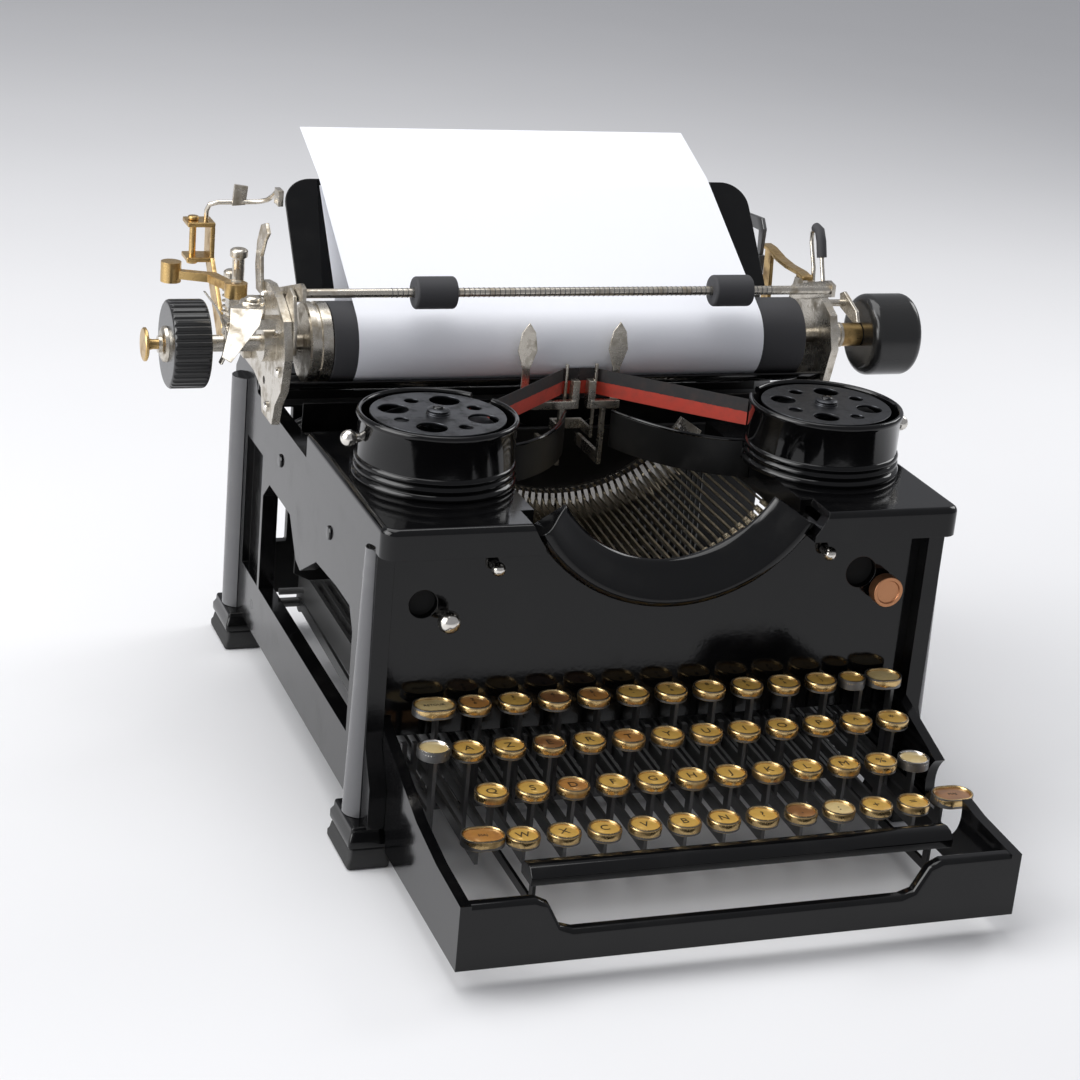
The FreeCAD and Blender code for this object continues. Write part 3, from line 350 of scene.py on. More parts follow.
@dataclass(frozen=True)
class InkedCloth:
    """Woven typing ribbon: black above, red below."""

    name: str
    split_z: float
    black: Colour = (0.012, 0.011, 0.012)
    red: Colour = (0.62, 0.045, 0.018)
    worn: Colour = (0.10, 0.05, 0.04)

    def material(self) -> bpy.types.Material:
        """Builds the ribbon's two bands and its weave."""
        shader = Shader(self.name)
        height = shader.node("ShaderNodeSeparateXYZ", {}, {0: shader.spot()}, output=2)
        ragged = shader.noise(400.0, 3.0) * 0.0008
        upper = (height + ragged) > self.split_z * MM + 0.0004
        weave = shader.node("ShaderNodeTexWave", {"bands_direction": "Z"}, {0: shader.spot(), "Scale": 700.0})
        warp = shader.node("ShaderNodeTexWave", {"bands_direction": "X"}, {0: shader.spot(), "Scale": 700.0})
        shader.bump(weave + warp, 0.25, 0.00012)
        worn = shader.patches(150.0, 0.4, 0.8)
        colour = shader.mix(worn * 0.35, shader.mix(upper, self.red, self.black), self.worn)
        return shader.dress(Base_Color=colour, Roughness=worn * 0.1 + 0.62, Sheen_Weight=0.15)


@dataclass(frozen=True)
class MouldedPlastic:
    """Black moulded knobs, polished by hands on their high spots."""

    name: str
    colour: Colour = (0.007, 0.007, 0.008)
    dulled: Colour = (0.03, 0.028, 0.025)
    roughness: float = 0.2

    def material(self) -> bpy.types.Material:
        """Builds the plastic."""
        shader = Shader(self.name)
        dull = shader.patches(90.0, 0.4, 0.75)
        shader.bump(shader.noise(1400.0, 2.0), 0.08, 0.0001)
        colour = shader.mix(dull * 0.6, self.colour, self.dulled)
        return shader.dress(Base_Color=colour, Roughness=dull * 0.2 + self.roughness)


class Finish(Enum):
    """Every finish of the machine, with the record's material slot it stands for."""

    ENAMEL = ("black_enamel", Enamel("stoved_enamel"))
    POST = ("black_enamel", Enamel("post_enamel", roughness=0.09, wear=0.8))
    INNER = ("black_enamel", Enamel("inner_enamel", (0.003, 0.003, 0.003), roughness=0.3, wear=1.0))
    NICKEL = ("nickel", AgedMetal("aged_nickel", (0.62, 0.58, 0.51), (0.26, 0.21, 0.14)))
    BRIGHT = (
        "nickel", AgedMetal("bright_nickel", (0.74, 0.71, 0.66), (0.42, 0.37, 0.29), 0.14, (0.55, 0.85))
    )
    BRASS = ("nickel", AgedMetal("rubbed_brass", (0.58, 0.40, 0.17), (0.22, 0.13, 0.05), 0.24))
    BARS = ("nickel", AgedMetal("typebar_steel", (0.40, 0.345, 0.25), (0.12, 0.095, 0.06), 0.24))
    RING = ("key_ring", AgedMetal("key_ring_gilt", (0.66, 0.47, 0.22), (0.30, 0.19, 0.08), 0.2))
    STEEL = ("dark_steel", AgedMetal("dark_steel", (0.06, 0.06, 0.06), (0.025, 0.022, 0.02), 0.32))
    SPOOL = ("dark_steel", AgedMetal("spool_black", (0.055, 0.057, 0.062), (0.03, 0.03, 0.03), 0.28))
    # Grey painted on the corner posts' faces is a painted reflection of the light from the left; its lighter
    # patches are dust.
    POST_PAINTED_REFLECTION = (
        "black_enamel", Enamel("dusty_enamel_painted_reflection", (0.15, 0.15, 0.155), (0.24, 0.24, 0.24), 0.14, 0.9)
    )
    COPPER = ("copper_ring", AgedMetal("copper_ring", (0.60, 0.27, 0.12), (0.30, 0.14, 0.07), 0.22))
    PLATEN = ("platen_rubber", Rubber("platen_rubber"))
    FOOT = ("foot_rubber", Rubber("foot_rubber", (0.009, 0.009, 0.01), (0.03, 0.03, 0.03), 0.3))
    KNOB = ("knob_plastic", MouldedPlastic("knob_plastic"))
    CARD = ("key_ring", LegendCard("legend_ochre", (0.62, 0.38, 0.085), (0.50, 0.27, 0.04)))
    AMBER = ("key_ring", LegendCard("legend_amber", (0.46, 0.21, 0.05), (0.28, 0.11, 0.03)))
    BROWN = ("key_ring", LegendCard("legend_brown", (0.20, 0.085, 0.03), (0.34, 0.15, 0.045), 0.7))
    CREAM = ("key_ring", LegendCard("legend_cream", (0.70, 0.55, 0.27), (0.58, 0.39, 0.13)))
    INK = ("key_ring", Ink("legend_ink"))
    PAPER = ("paper_white", PaperStock("writing_paper"))
    RIBBON = ("ribbon_cloth", InkedCloth("inked_ribbon", 180.5))
    # Painted shade: a near-black matte for the plates that stand in for the shaded inside behind the front
    # panel's holes.
    PAINTED_SHADE = ("dark_steel", Rubber("painted_shade_black", (0.003, 0.003, 0.003), (0.006, 0.006, 0.006), 0.8))

    def material(self) -> bpy.types.Material:
        """Gives the finish's material, built the first time it is asked for."""
        maker = self.value[1]
        return bpy.data.materials.get(maker.name) or maker.material()


# ---- meshes ----
SNAP = 0.002  # points nearer than this many millimetres are one
ON_AXIS = 0.01  # a profile's point with a smaller radius stands on the axis, in millimetres
SOFTENED = 38.0  # edges sharper than this many degrees get a radius
NO_SKIP = 10000  # a count that no repeat reaches, so that no copy is left out


def body_of(node: str) -> str:
    """Gives the body that a CAD node belongs to."""
    bodies = frame["record"]["behaviour"]["bodies"]
    return next(name for name, nodes in bodies.items() if node in nodes)


def settle(piece: bpy.types.Object, smooth: float) -> None:
    """Applies a piece's modifiers to its mesh and smooths what is flatter than an angle in degrees."""
    piece.data.shade_smooth()
    piece.data.set_sharp_from_angle(angle=math.radians(smooth))
    graph = bpy.context.evaluated_depsgraph_get()
    mesh = bpy.data.meshes.new_from_object(piece.evaluated_get(graph))
    piece.modifiers.clear()
    piece.data = mesh


def rounded(piece: bpy.types.Object, width: float, steps: int) -> None:
    """Gives a piece's sharp edges a small radius, in millimetres."""
    bevel = piece.modifiers.new("edges", "BEVEL")
    bevel.width = width * MM
    bevel.segments = steps
    bevel.limit_method = "ANGLE"
    bevel.angle_limit = math.radians(SOFTENED)
    level = piece.modifiers.new("flats", "WEIGHTED_NORMAL")
    level.mode, level.weight, level.keep_sharp = "FACE_AREA", 80, False


def show(
    name: str, mesh: bpy.types.Mesh, body: str, finishes: Sequence[Finish], stands_for: Iterable[str] = (),
) -> bpy.types.Object:
    """Puts a mesh in the scene as a piece that rides on a body.

    Args:
        name: the piece's name.
        mesh: its mesh, in the frame.
        body: the CAD body it moves with.
        finishes: its finishes, in the order of its faces' numbers.
        stands_for: the CAD nodes that it replaces.

    Returns:
        The piece.
    """
    piece = bpy.data.objects.new(name, mesh)
    bpy.context.scene.collection.objects.link(piece)
    for finish in finishes:
        mesh.materials.append(finish.material())
    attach(piece, body)
    if stands_for:
        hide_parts(*stands_for)
    LOG.info("%s: %d faces on %s", name, len(mesh.polygons), body)
    return piece


def refine(
    node: str, finish: Finish, edge: float = 0.5, steps: int = 2, smooth: float = 34.0
) -> bpy.types.Object:
    """Stands a smooth copy with softened edges in for a CAD node.

    Args:
        node: the CAD node.
        finish: its finish.
        edge: the radius of its edges in millimetres, or 0 for sharp edges.
        steps: the facets across an edge.
        smooth: the angle in degrees up to which neighbouring faces blend.

    Returns:
        The piece that stands for the node.
    """
    work = bmesh.new()
    work.from_mesh(frame["nodes"][node].data)
    bmesh.ops.remove_doubles(work, verts=work.verts, dist=5e-6)
    bmesh.ops.dissolve_limit(work, angle_limit=math.radians(0.6), verts=work.verts, edges=work.edges)
    mesh = bpy.data.meshes.new(node + "_shape")
    work.to_mesh(mesh)
    work.free()
    piece = show(node + "_shape", mesh, body_of(node), [finish], [node])
    if edge:
        rounded(piece, edge, steps)
    settle(piece, smooth)
    return piece


class Form:
    """A mesh under construction, drawn in the machine's millimetres."""

    def __init__(self) -> None:
        """Starts empty, with faces taking the first finish."""
        self.work = bmesh.new()
        self.finish = 0

    def face(self, corners: Sequence[bmesh.types.BMVert]) -> None:
        """Adds a face with the current finish, unless it has no area."""
        if len(set(corners)) < 3:
            return
        try:
            self.work.faces.new(corners).material_index = self.finish
        except ValueError:
            LOG.debug("face already there")

    def skin(
        self, rings: Sequence[Sequence[Vector]], closed: bool = False, caps: bool = True, loop: bool = True,
    ) -> None:
        """Joins rings of points with faces.

        Args:
            rings: rings of equally many points.
            closed: whether the last ring joins the first.
            caps: whether the end rings are filled.
            loop: whether each ring closes on itself.
        """
        made = [[self.work.verts.new(point) for point in ring] for ring in rings]
        pairs = list(zip(made, made[1:])) + ([(made[-1], made[0])] if closed else [])
        for low, high in pairs:
            for spot in range(len(low) if loop else len(low) - 1):
                after = (spot + 1) % len(low)
                self.face([low[spot], low[after], high[after], high[spot]])
        if caps and not closed:
            self.face(made[0][::-1])
            self.face(made[-1])

    def prism(self, axis: str, outline: Sequence[tuple[float, float]], low: float, high: float) -> None:
        """Pushes an outline along an axis from low to high; its points are the other two coordinates."""
        lift: dict[str, Callable[[float, float, float], Vector]] = {
            "X": lambda a, b, h: Vector((h, a, b)),
            "Y": lambda a, b, h: Vector((a, h, b)),
            "Z": lambda a, b, h: Vector((a, b, h)),
        }
        self.skin([[lift[axis](a, b, h) for a, b in outline] for h in (low, high)])

    def block(self, low: Point, high: Point) -> None:
        """Adds a block between two corners."""
        corners = [(low[0], low[1]), (high[0], low[1]), (high[0], high[1]), (low[0], high[1])]
        self.prism("Z", corners, low[2], high[2])

    def turned(
        self, axis: str, centre: Point, profile: Sequence[tuple[float, float]], ring: bool = False,
        span: tuple[float, float] = (0.0, 360.0), steps: int = 40, longer: float = 0.0,
    ) -> None:
        """Turns a profile about an axis.

        Args:
            axis: the axis the shape turns about.
            centre: a point on it, from which the profile's heights count.
            profile: radius and height of each point.
            ring: whether the profile closes on itself, as in a hoop.
            span: the first and last angle in degrees.
            steps: facets round a whole turn.
            longer: how far each half is moved out along the first cross axis, for an oval.
        """
        cross = {"X": ((0, 1, 0), (0, 0, 1), (1, 0, 0)), "Y": ((0, 0, 1), (1, 0, 0), (0, 1, 0)),
                 "Z": ((1, 0, 0), (0, 1, 0), (0, 0, 1))}[axis]
        first, second, along = (Vector(way) for way in cross)
        whole = abs(span[1] - span[0]) >= 359.9
        count = max(3, round(steps * abs(span[1] - span[0]) / 360))
        rings = []
        for step in range(count if whole else count + 1):
            angle = math.radians(span[0] + (span[1] - span[0]) * (step + (0.5 if whole else 0)) / count)
            out = first * math.cos(angle) + second * math.sin(angle)
            shift = first * math.copysign(longer, math.cos(angle)) if longer else Vector()
            rings.append([Vector(centre) + shift * (r > ON_AXIS) + out * r + along * h for r, h in profile])
        self.skin(rings, closed=whole, caps=ring and not whole, loop=ring)

    def tube(self, path: Sequence[Point], radius: float, sides: int = 10) -> None:
        """Runs a round wire through points."""
        points = [Vector(point) for point in path]
        rings, side = [], None
        for spot, point in enumerate(points):
            way = (points[min(spot + 1, len(points) - 1)] - points[max(spot - 1, 0)]).normalized()
            start = side or (Vector((0, 0, 1)) if abs(way.z) < 0.9 else Vector((0, 1, 0)))
            side = (start - way * start.dot(way)).normalized()
            other = way.cross(side)
            rings.append([
                point + (side * math.cos(a) + other * math.sin(a)) * radius
                for a in (2 * math.pi * step / sides for step in range(sides))
            ])
        self.skin(rings)

    def ball(self, centre: Point, radius: float) -> None:
        """Adds a turned ball with a flat seat behind it."""
        arc = [
            (radius * math.sin(a), -radius * math.cos(a))
            for a in (math.pi * step / 12 for step in range(13))
        ]
        self.turned("Y", centre, [(max(r, 0.0), h) for r, h in arc], steps=24)

    def text(self, words: str, centre: Point, size: float) -> None:
        """Lays flat lettering on a level face, read from the front."""
        curve = bpy.data.curves.new("lettering", "FONT")
        curve.body, curve.size, curve.extrude = words, size, 0.04
        curve.align_x, curve.align_y = "CENTER", "CENTER"
        carrier = bpy.data.objects.new("lettering", curve)
        bpy.context.scene.collection.objects.link(carrier)
        graph = bpy.context.evaluated_depsgraph_get()
        graph.update()
        flat = bpy.data.meshes.new_from_object(carrier.evaluated_get(graph))
        flat.transform(Matrix.Translation(Vector(centre)))
        before = len(self.work.faces)
        self.work.from_mesh(flat)
        self.work.faces.ensure_lookup_table()
        for number in range(before, len(self.work.faces)):
            self.work.faces[number].material_index = self.finish
        bpy.data.objects.remove(carrier)
        bpy.data.meshes.remove(flat)

    def mesh(self, name: str) -> bpy.types.Mesh:
        """Closes the form and gives its mesh in the frame, in metres."""
        bmesh.ops.remove_doubles(self.work, verts=self.work.verts, dist=SNAP)
        bmesh.ops.recalc_face_normals(self.work, faces=self.work.faces)
        for vert in self.work.verts:
            vert.co = vert.co * MM + ORIGIN
        made = bpy.data.meshes.new(name)
        self.work.to_mesh(made)
        self.work.free()
        return made

    def piece(
        self, name: str, body: str, finishes: Sequence[Finish], stands_for: Iterable[str] = (),
        edge: float = 0.0, steps: int = 2, smooth: float = 35.0,
    ) -> bpy.types.Object:
        """Closes the form and shows it as a piece; see show() and refine() for the arguments."""
        made = show(name, self.mesh(name), body, finishes, stands_for)
        if edge:
            rounded(made, edge, steps)
        settle(made, smooth)
        return made


# ---- repeats ----
class Repeater:
    """A Geometry Nodes tree that repeats a piece's own mesh by steps and turns."""

    def __init__(self, name: str) -> None:
        """Builds the tree: points, an instance on each, its turn and step, then real faces."""
        self.tree = bpy.data.node_groups.new(name, "GeometryNodeTree")
        self.identifiers: dict[str, str] = {}
        self.socket("Geometry", "NodeSocketGeometry")
        self.socket("Count", "NodeSocketInt")
        self.socket("Skip", "NodeSocketInt")
        self.socket("Turn", "NodeSocketFloat")
        self.socket("Start", "NodeSocketFloat")
        self.socket("Axis", "NodeSocketVector")
        self.socket("Pivot", "NodeSocketVector")
        self.socket("Step", "NodeSocketVector")
        self.socket("Jitter", "NodeSocketFloat")
        self.socket("Seed", "NodeSocketInt")
        self.socket("Finish", "NodeSocketMaterial")
        self.tree.interface.new_socket("Geometry", in_out="OUTPUT", socket_type="NodeSocketGeometry")
        self.wire()

    def socket(self, name: str, kind: str) -> None:
        """Adds a named input to the tree."""
        made = self.tree.interface.new_socket(name, in_out="INPUT", socket_type=kind)
        self.identifiers[name] = made.identifier

    def node(
        self, kind: str, settings: dict[str, Any], inputs: dict[Any, Any], output: int = 0
    ) -> bpy.types.NodeSocket:
        """Adds a node; see Shader.node() for the arguments."""
        made = self.tree.nodes.new("GeometryNode" + kind if kind[0] != "!" else kind[1:])
        for key, value in settings.items():
            setattr(made, key, value)
        for key, value in inputs.items():
            if isinstance(value, bpy.types.NodeSocket):
                self.tree.links.new(value, made.inputs[key])
            else:
                made.inputs[key].default_value = value
        return made.outputs[output]

    def wire(self) -> None:
        """Links the tree's nodes."""
        given = self.tree.nodes.new("NodeGroupInput").outputs
        maths, vectors = "!ShaderNodeMath", "!ShaderNodeVectorMath"
        points = self.node("Points", {}, {"Count": given["Count"]})
        index = self.node("InputIndex", {}, {})
        past = self.node(maths, {"operation": "GREATER_THAN"}, {0: index, 1: given["Skip"]})
        also = self.node(maths, {"operation": "COMPARE"}, {0: index, 1: given["Skip"], 2: 0.1})
        counted = self.node(
            maths, {"operation": "ADD"}, {0: index, 1: self.node(maths, {}, {0: past, 1: also})}
        )
        low = self.node(maths, {"operation": "MULTIPLY"}, {0: given["Jitter"], 1: -1.0})
        wobble = self.node(
            "!FunctionNodeRandomValue", {"data_type": "FLOAT"},
            {2: low, 3: given["Jitter"], "Seed": given["Seed"]}, 1
        )
        turn = self.node(
            maths, {"operation": "MULTIPLY_ADD"}, {0: counted, 1: given["Turn"], 2: given["Start"]}
        )
        turn = self.node(maths, {}, {0: turn, 1: wobble})
        angles = self.node(vectors, {"operation": "SCALE"}, {0: given["Axis"], "Scale": turn})
        shift = self.node(vectors, {"operation": "SCALE"}, {0: given["Step"], "Scale": counted})
        copies = self.node("InstanceOnPoints", {}, {"Points": points, "Instance": given["Geometry"]})
        copies = self.node("RotateInstances", {}, {
            "Instances": copies, "Rotation": angles, "Pivot Point": given["Pivot"], "Local Space": False
        })
        copies = self.node(
            "TranslateInstances", {}, {"Instances": copies, "Translation": shift, "Local Space": False}
        )
        solid = self.node("RealizeInstances", {}, {"Geometry": copies})
        solid = self.node("SetMaterial", {}, {"Geometry": solid, "Material": given["Finish"]})
        result = self.tree.nodes.new("NodeGroupOutput")
        self.tree.links.new(solid, result.inputs[0])

    def repeat(self, piece: bpy.types.Object, finish: Finish, **sizes: Any) -> bpy.types.Object:
        """Repeats a piece's mesh and makes the result plain.

        Args:
            piece: the piece whose mesh is the one to repeat.
            finish: the finish of every copy.
            sizes: the tree's inputs by name; Count is needed.

        Returns:
            The same piece with the repeated mesh.
        """
        values = {"Skip": NO_SKIP, "Seed": 7, "Finish": finish.material(), **sizes}
        modifier = piece.modifiers.new("repeat", "NODES")
        modifier.node_group = self.tree
        for name, value in values.items():
            modifier[self.identifiers[name]] = value
        settle(piece, 35.0)
        return piece


REPEATER = Repeater("repeat_round_or_along")


# ---- the body ----
@dataclass
class Body:
    """The enamelled body: side frames, tray, front panel, rim and covers."""

    frame_half: float = 138.0
    platen_z: float = 196.4
    rim_top: float = 156.0
    shells: tuple[tuple[str, Finish, float], ...] = (
        ("side_frame_left", Finish.POST, 1.2), ("side_frame_right", Finish.POST, 1.2),
        ("keyboard_tray", Finish.ENAMEL, 1.8), ("front_panel", Finish.ENAMEL, 0.6),
        ("cover_left", Finish.ENAMEL, 2.4), ("cover_right", Finish.ENAMEL, 2.4),
        ("back_frame", Finish.INNER, 0.8),
    )
    ball_screws: tuple[float, ...] = (-81.0, 81.0)
    look_holes: tuple[tuple[float, float], ...] = ((-113.2, 119.5), (101.0, 124.5))

    def build(self) -> None:
        """Builds every piece of the body."""
        for node, finish, edge in self.shells:
            refine(node, finish, edge, 3)
        self.rim()
        self.feet()
        self.screws()
        self.fasteners()
        self.painted_shade_plates()
        self.post_faces()

    def post_faces(self) -> None:
        """The grey faces of the four corner posts: a painted reflection of the light from the left, with
        patches of dust.
        """
        form = Form()
        for side, middle in ((-1, 180.0), (1, 0.0)):
            for y, top, half in ((127.0, 5.0, 73.0), (374.0, 8.0, 74.0)):
                shell = [(8.16, 20.3), (top + 0.16, 147.8), (top - 0.6, 147.8), (7.4, 20.3)]
                form.turned(
                    "Z", (side * (self.frame_half - 2), y, 0), shell, ring=True,
                    span=(middle - half, middle + half), steps=72
                )
        # The grey of these faces is painted reflection, not the enamel's own colour.
        form.piece("corner_posts", "root", [Finish.POST_PAINTED_REFLECTION])

    def painted_shade_plates(self) -> None:
        """Dark plates behind the front panel's look-through holes: painted shade that stands in for the
        shaded inside of the machine.
        """
        form = Form()
        for x, z in self.look_holes:
            form.turned(
                "Y", (x, 131.0, z), [(0, 1.2), (9.6, 1.2), (10, 0.8), (10, 0.05), (0, 0.05)], steps=40
            )
        # These plates are painted shade, put where the machine's inside lies in shade.
        form.piece("painted_shade_plates", "root", [Finish.PAINTED_SHADE])

    def rim(self) -> None:
        """The half-round moulding that slopes in to the type basket."""
        profile = [
            (79.0, 126.9), (79.3, 120.0), (79.2, 116.0), (78.4, 113.4), (76.6, 111.9), (74.2, 111.7),
            (71.8, 113.0), (69.0, 115.6), (66.0, 118.8), (63.2, 121.4), (61.0, 123.2), (60.1, 124.8),
            (60.0, 126.9),
        ]
        drop = math.degrees(math.acos((self.platen_z - self.rim_top) / 79.0))
        form = Form()
        form.turned(
            "Y", (0, 0, self.platen_z), profile, ring=True, span=(180 - drop + 1.2, 180 + drop - 1.2),
            steps=180
        )
        form.piece("rim_moulding", "root", [Finish.ENAMEL], ["basket_rim"], edge=0.8, smooth=50)

    def feet(self) -> None:
        """Four stepped foot sockets over flared rubber feet."""
        rubber, socket = Form(), Form()
        pad = ((10, 18, 0), (10, 18, 3.5), (9.2, 17.2, 5), (8.6, 16.2, 9), (7, 15, 10.2))
        shoe = ((9.4, 17.2, 9.6), (9.4, 17.2, 14), (8.2, 15.6, 16.5), (8, 15.4, 20))
        corners = ((-1, -1), (1, -1), (1, 1), (-1, 1))
        for side in (-1, 1):
            for front in (108.0, 356.0):
                middle = (side * (self.frame_half - 2), front + 18.0)
                for form, sizes in ((rubber, pad), (socket, shoe)):
                    form.skin([
                        [
                            Vector((middle[0] + across * half_x, middle[1] + along * half_y, z))
                            for across, along in corners
                        ]
                        for half_x, half_y, z in sizes
                    ])
        rubber.piece("rubber_feet_shape", "root", [Finish.FOOT], ["rubber_feet"], edge=1.6, steps=3)
        socket.piece("foot_sockets", "root", [Finish.ENAMEL], edge=1.4, steps=3)

    def screws(self) -> None:
        """Ball-headed screws on the panel and beside the cups."""
        form = Form()
        for x in self.ball_screws:
            form.ball((x, 122.6, 136.4), 3.3)
            form.turned("Y", (x, 122.6, 136.4), [(0, 0.5), (2.2, 0.5), (2.2, 4.4), (0, 4.4)], steps=20)
        for side in (-1, 1):
            form.ball((side * 137.7, 175.6, 181.0), 3.8)
            form.turned(
                "X", (side * 132.9, 175.6, 181.0), [(0, -1.4), (2.1, -1.4), (2.1, 2.5), (0, 2.5)], steps=20
            )
        form.piece("ball_screws", "root", [Finish.BRIGHT], ["frame_screws"])

    def fasteners(self) -> None:
        """Domed screws on both side frames."""
        form = Form()
        spots = [(-1, y, z) for y, z in ((134, 132), (196, 128), (290, 130), (370, 60), (372, 130))]
        for side, y, z in spots + [(1, y, z) for _, y, z in spots]:
            x = side * self.frame_half
            head = [(0, -0.5), (3.4, -0.5), (3.4, 0.5), (2.9, 1.0), (0, 1.25)]
            form.turned("X", (x, y, z), [(radius, side * height) for radius, height in head], steps=24)
        form.piece("frame_fasteners", "root", [Finish.ENAMEL])


# ---- spool cups ----
@dataclass
class SpoolCups:
    """The two beaded cups, their spools, the ribbon and its guards."""

    x: float = 96.7
    y: float = 175.6
    floor: float = 162.0
    ribbon_low: float = 174.0
    ribbon_width: float = 13.0
    fork_y: float = 250.6

    def build(self) -> None:
        """Builds every piece of the cups."""
        for side, name in ((-1, "left"), (1, "right")):
            self.spool(side, name)
        self.cups()
        self.ribbon()
        refine("ribbon_guards", Finish.INNER, 0.35)
        self.guard_edges()

    def cups(self) -> None:
        """Both cups with stepped beads, a rolled lip and the ribbon's way out."""
        form = Form()
        foot = [
            (34.4, 0.0), (37.4, 0.0), (37.9, 0.9), (37.8, 2.0), (37.0, 2.8), (36.4, 3.3), (37.1, 4.0),
            (37.3, 5.2), (36.9, 6.2), (36.3, 6.8), (36.9, 7.5), (37.1, 8.6), (36.7, 9.6), (36.0, 10.4),
            (34.4, 10.4)
        ]
        wall = [
            (34.4, 10.4), (36.0, 10.4), (36.0, 26.6), (36.7, 27.6), (37.0, 28.9), (36.5, 30.0), (35.6, 30.4),
            (34.7, 30.0), (34.3, 29.0), (34.4, 27.6)
        ]
        for side in (-1, 1):
            centre = (side * self.x, self.y, self.floor)
            way = math.degrees(math.atan2(self.fork_y - self.y, -side * self.x))
            form.turned("Z", centre, foot, ring=True, steps=96)
            form.turned("Z", centre, wall, ring=True, span=(way + 9.6, way + 350.4), steps=96)
            form.turned("Z", centre, [(0, 0.2), (34.5, 0.2), (34.5, 2.0), (0, 2.0)], steps=64)
            form.turned("Z", centre, [(0, 1.9), (3.0, 1.9), (3.0, 32.0), (2.4, 33.0), (0, 33.0)], steps=24)
        form.piece("cup_shells", "root", [Finish.ENAMEL], ["spool_cups"], smooth=60)

    def spool(self, side: int, name: str) -> None:
        """A spool: two flanges, the upper one pierced by large and small holes, and the wound ribbon."""
        refine("spool_" + name, Finish.SPOOL, 0.3)
        form = Form()
        centre = (side * self.x, self.y, self.floor)
        form.turned(
            "Z", centre,
            [(0, 30.0), (4.2, 30.0), (5.2, 30.4), (5.4, 31.4), (4.4, 32.0), (3.2, 32.2), (0, 32.2)], steps=32
        )
        form.piece("spool_hub_" + name, "spool_" + name, [Finish.SPOOL])

    def ribbon(self) -> None:
        """The inked ribbon, a bowed strip from each cup to the fork."""
        strips = Form()
        for side in (-1, 1):
            reach = math.hypot(self.x, self.fork_y - self.y)
            near = 37.6 / reach
            end = Vector((side * self.x * (1 - near), self.y + (self.fork_y - self.y) * near, 0))
            start = Vector((side * 9.4, self.fork_y + 0.3, 0))
            behind_fork = [
                Vector((side * x, self.fork_y + y, 0))
                for x, y in ((0.1, 2.2), (6.0, 2.2), (8.3, 1.8), (9.0, 1.1))
            ]
            run = [(spot, 0.0) for spot in behind_fork]
            for step in range(25):
                t = step / 24
                run.append(
                    (start.lerp(end, t) + Vector((0, 0.4 * math.sin(math.pi * t), 0)), math.sin(math.pi * t))
                )
            rings = []
            for spot, swing in run:
                sag = -0.35 * swing
                low, high = self.ribbon_low + sag, self.ribbon_low + self.ribbon_width + sag * 0.6
                across = Vector((0, 0.12, 0))
                rings.append([spot - across + Vector((0, 0, low)), spot + across + Vector((0, 0, low)),
                              spot + across + Vector((0, 0, high)), spot - across + Vector((0, 0, high))])
            strips.skin(rings)
        strips.piece("ribbon_cloth", "root", [Finish.RIBBON], ["ribbon"])

    def guard_edges(self) -> None:
        """The rolled edge along the top of each ribbon guard."""
        form = Form()
        for side in (-1, 1):
            near, middle, far = (
                Vector((side * x, y, 0))
                for x, y in ((12.3, 235.4), (34, 202.4), (62.0, 187.0))
            )
            path = []
            for step in range(21):
                t = step / 20
                spot = near * (1 - t) ** 2 + (middle * 2 - (near + far) / 2) * 2 * t * (1 - t) + far * t ** 2
                path.append((spot.x, spot.y, 170.2))
            form.tube(path, 0.9, 10)
        form.piece("guard_rolled_edges", "root", [Finish.ENAMEL])


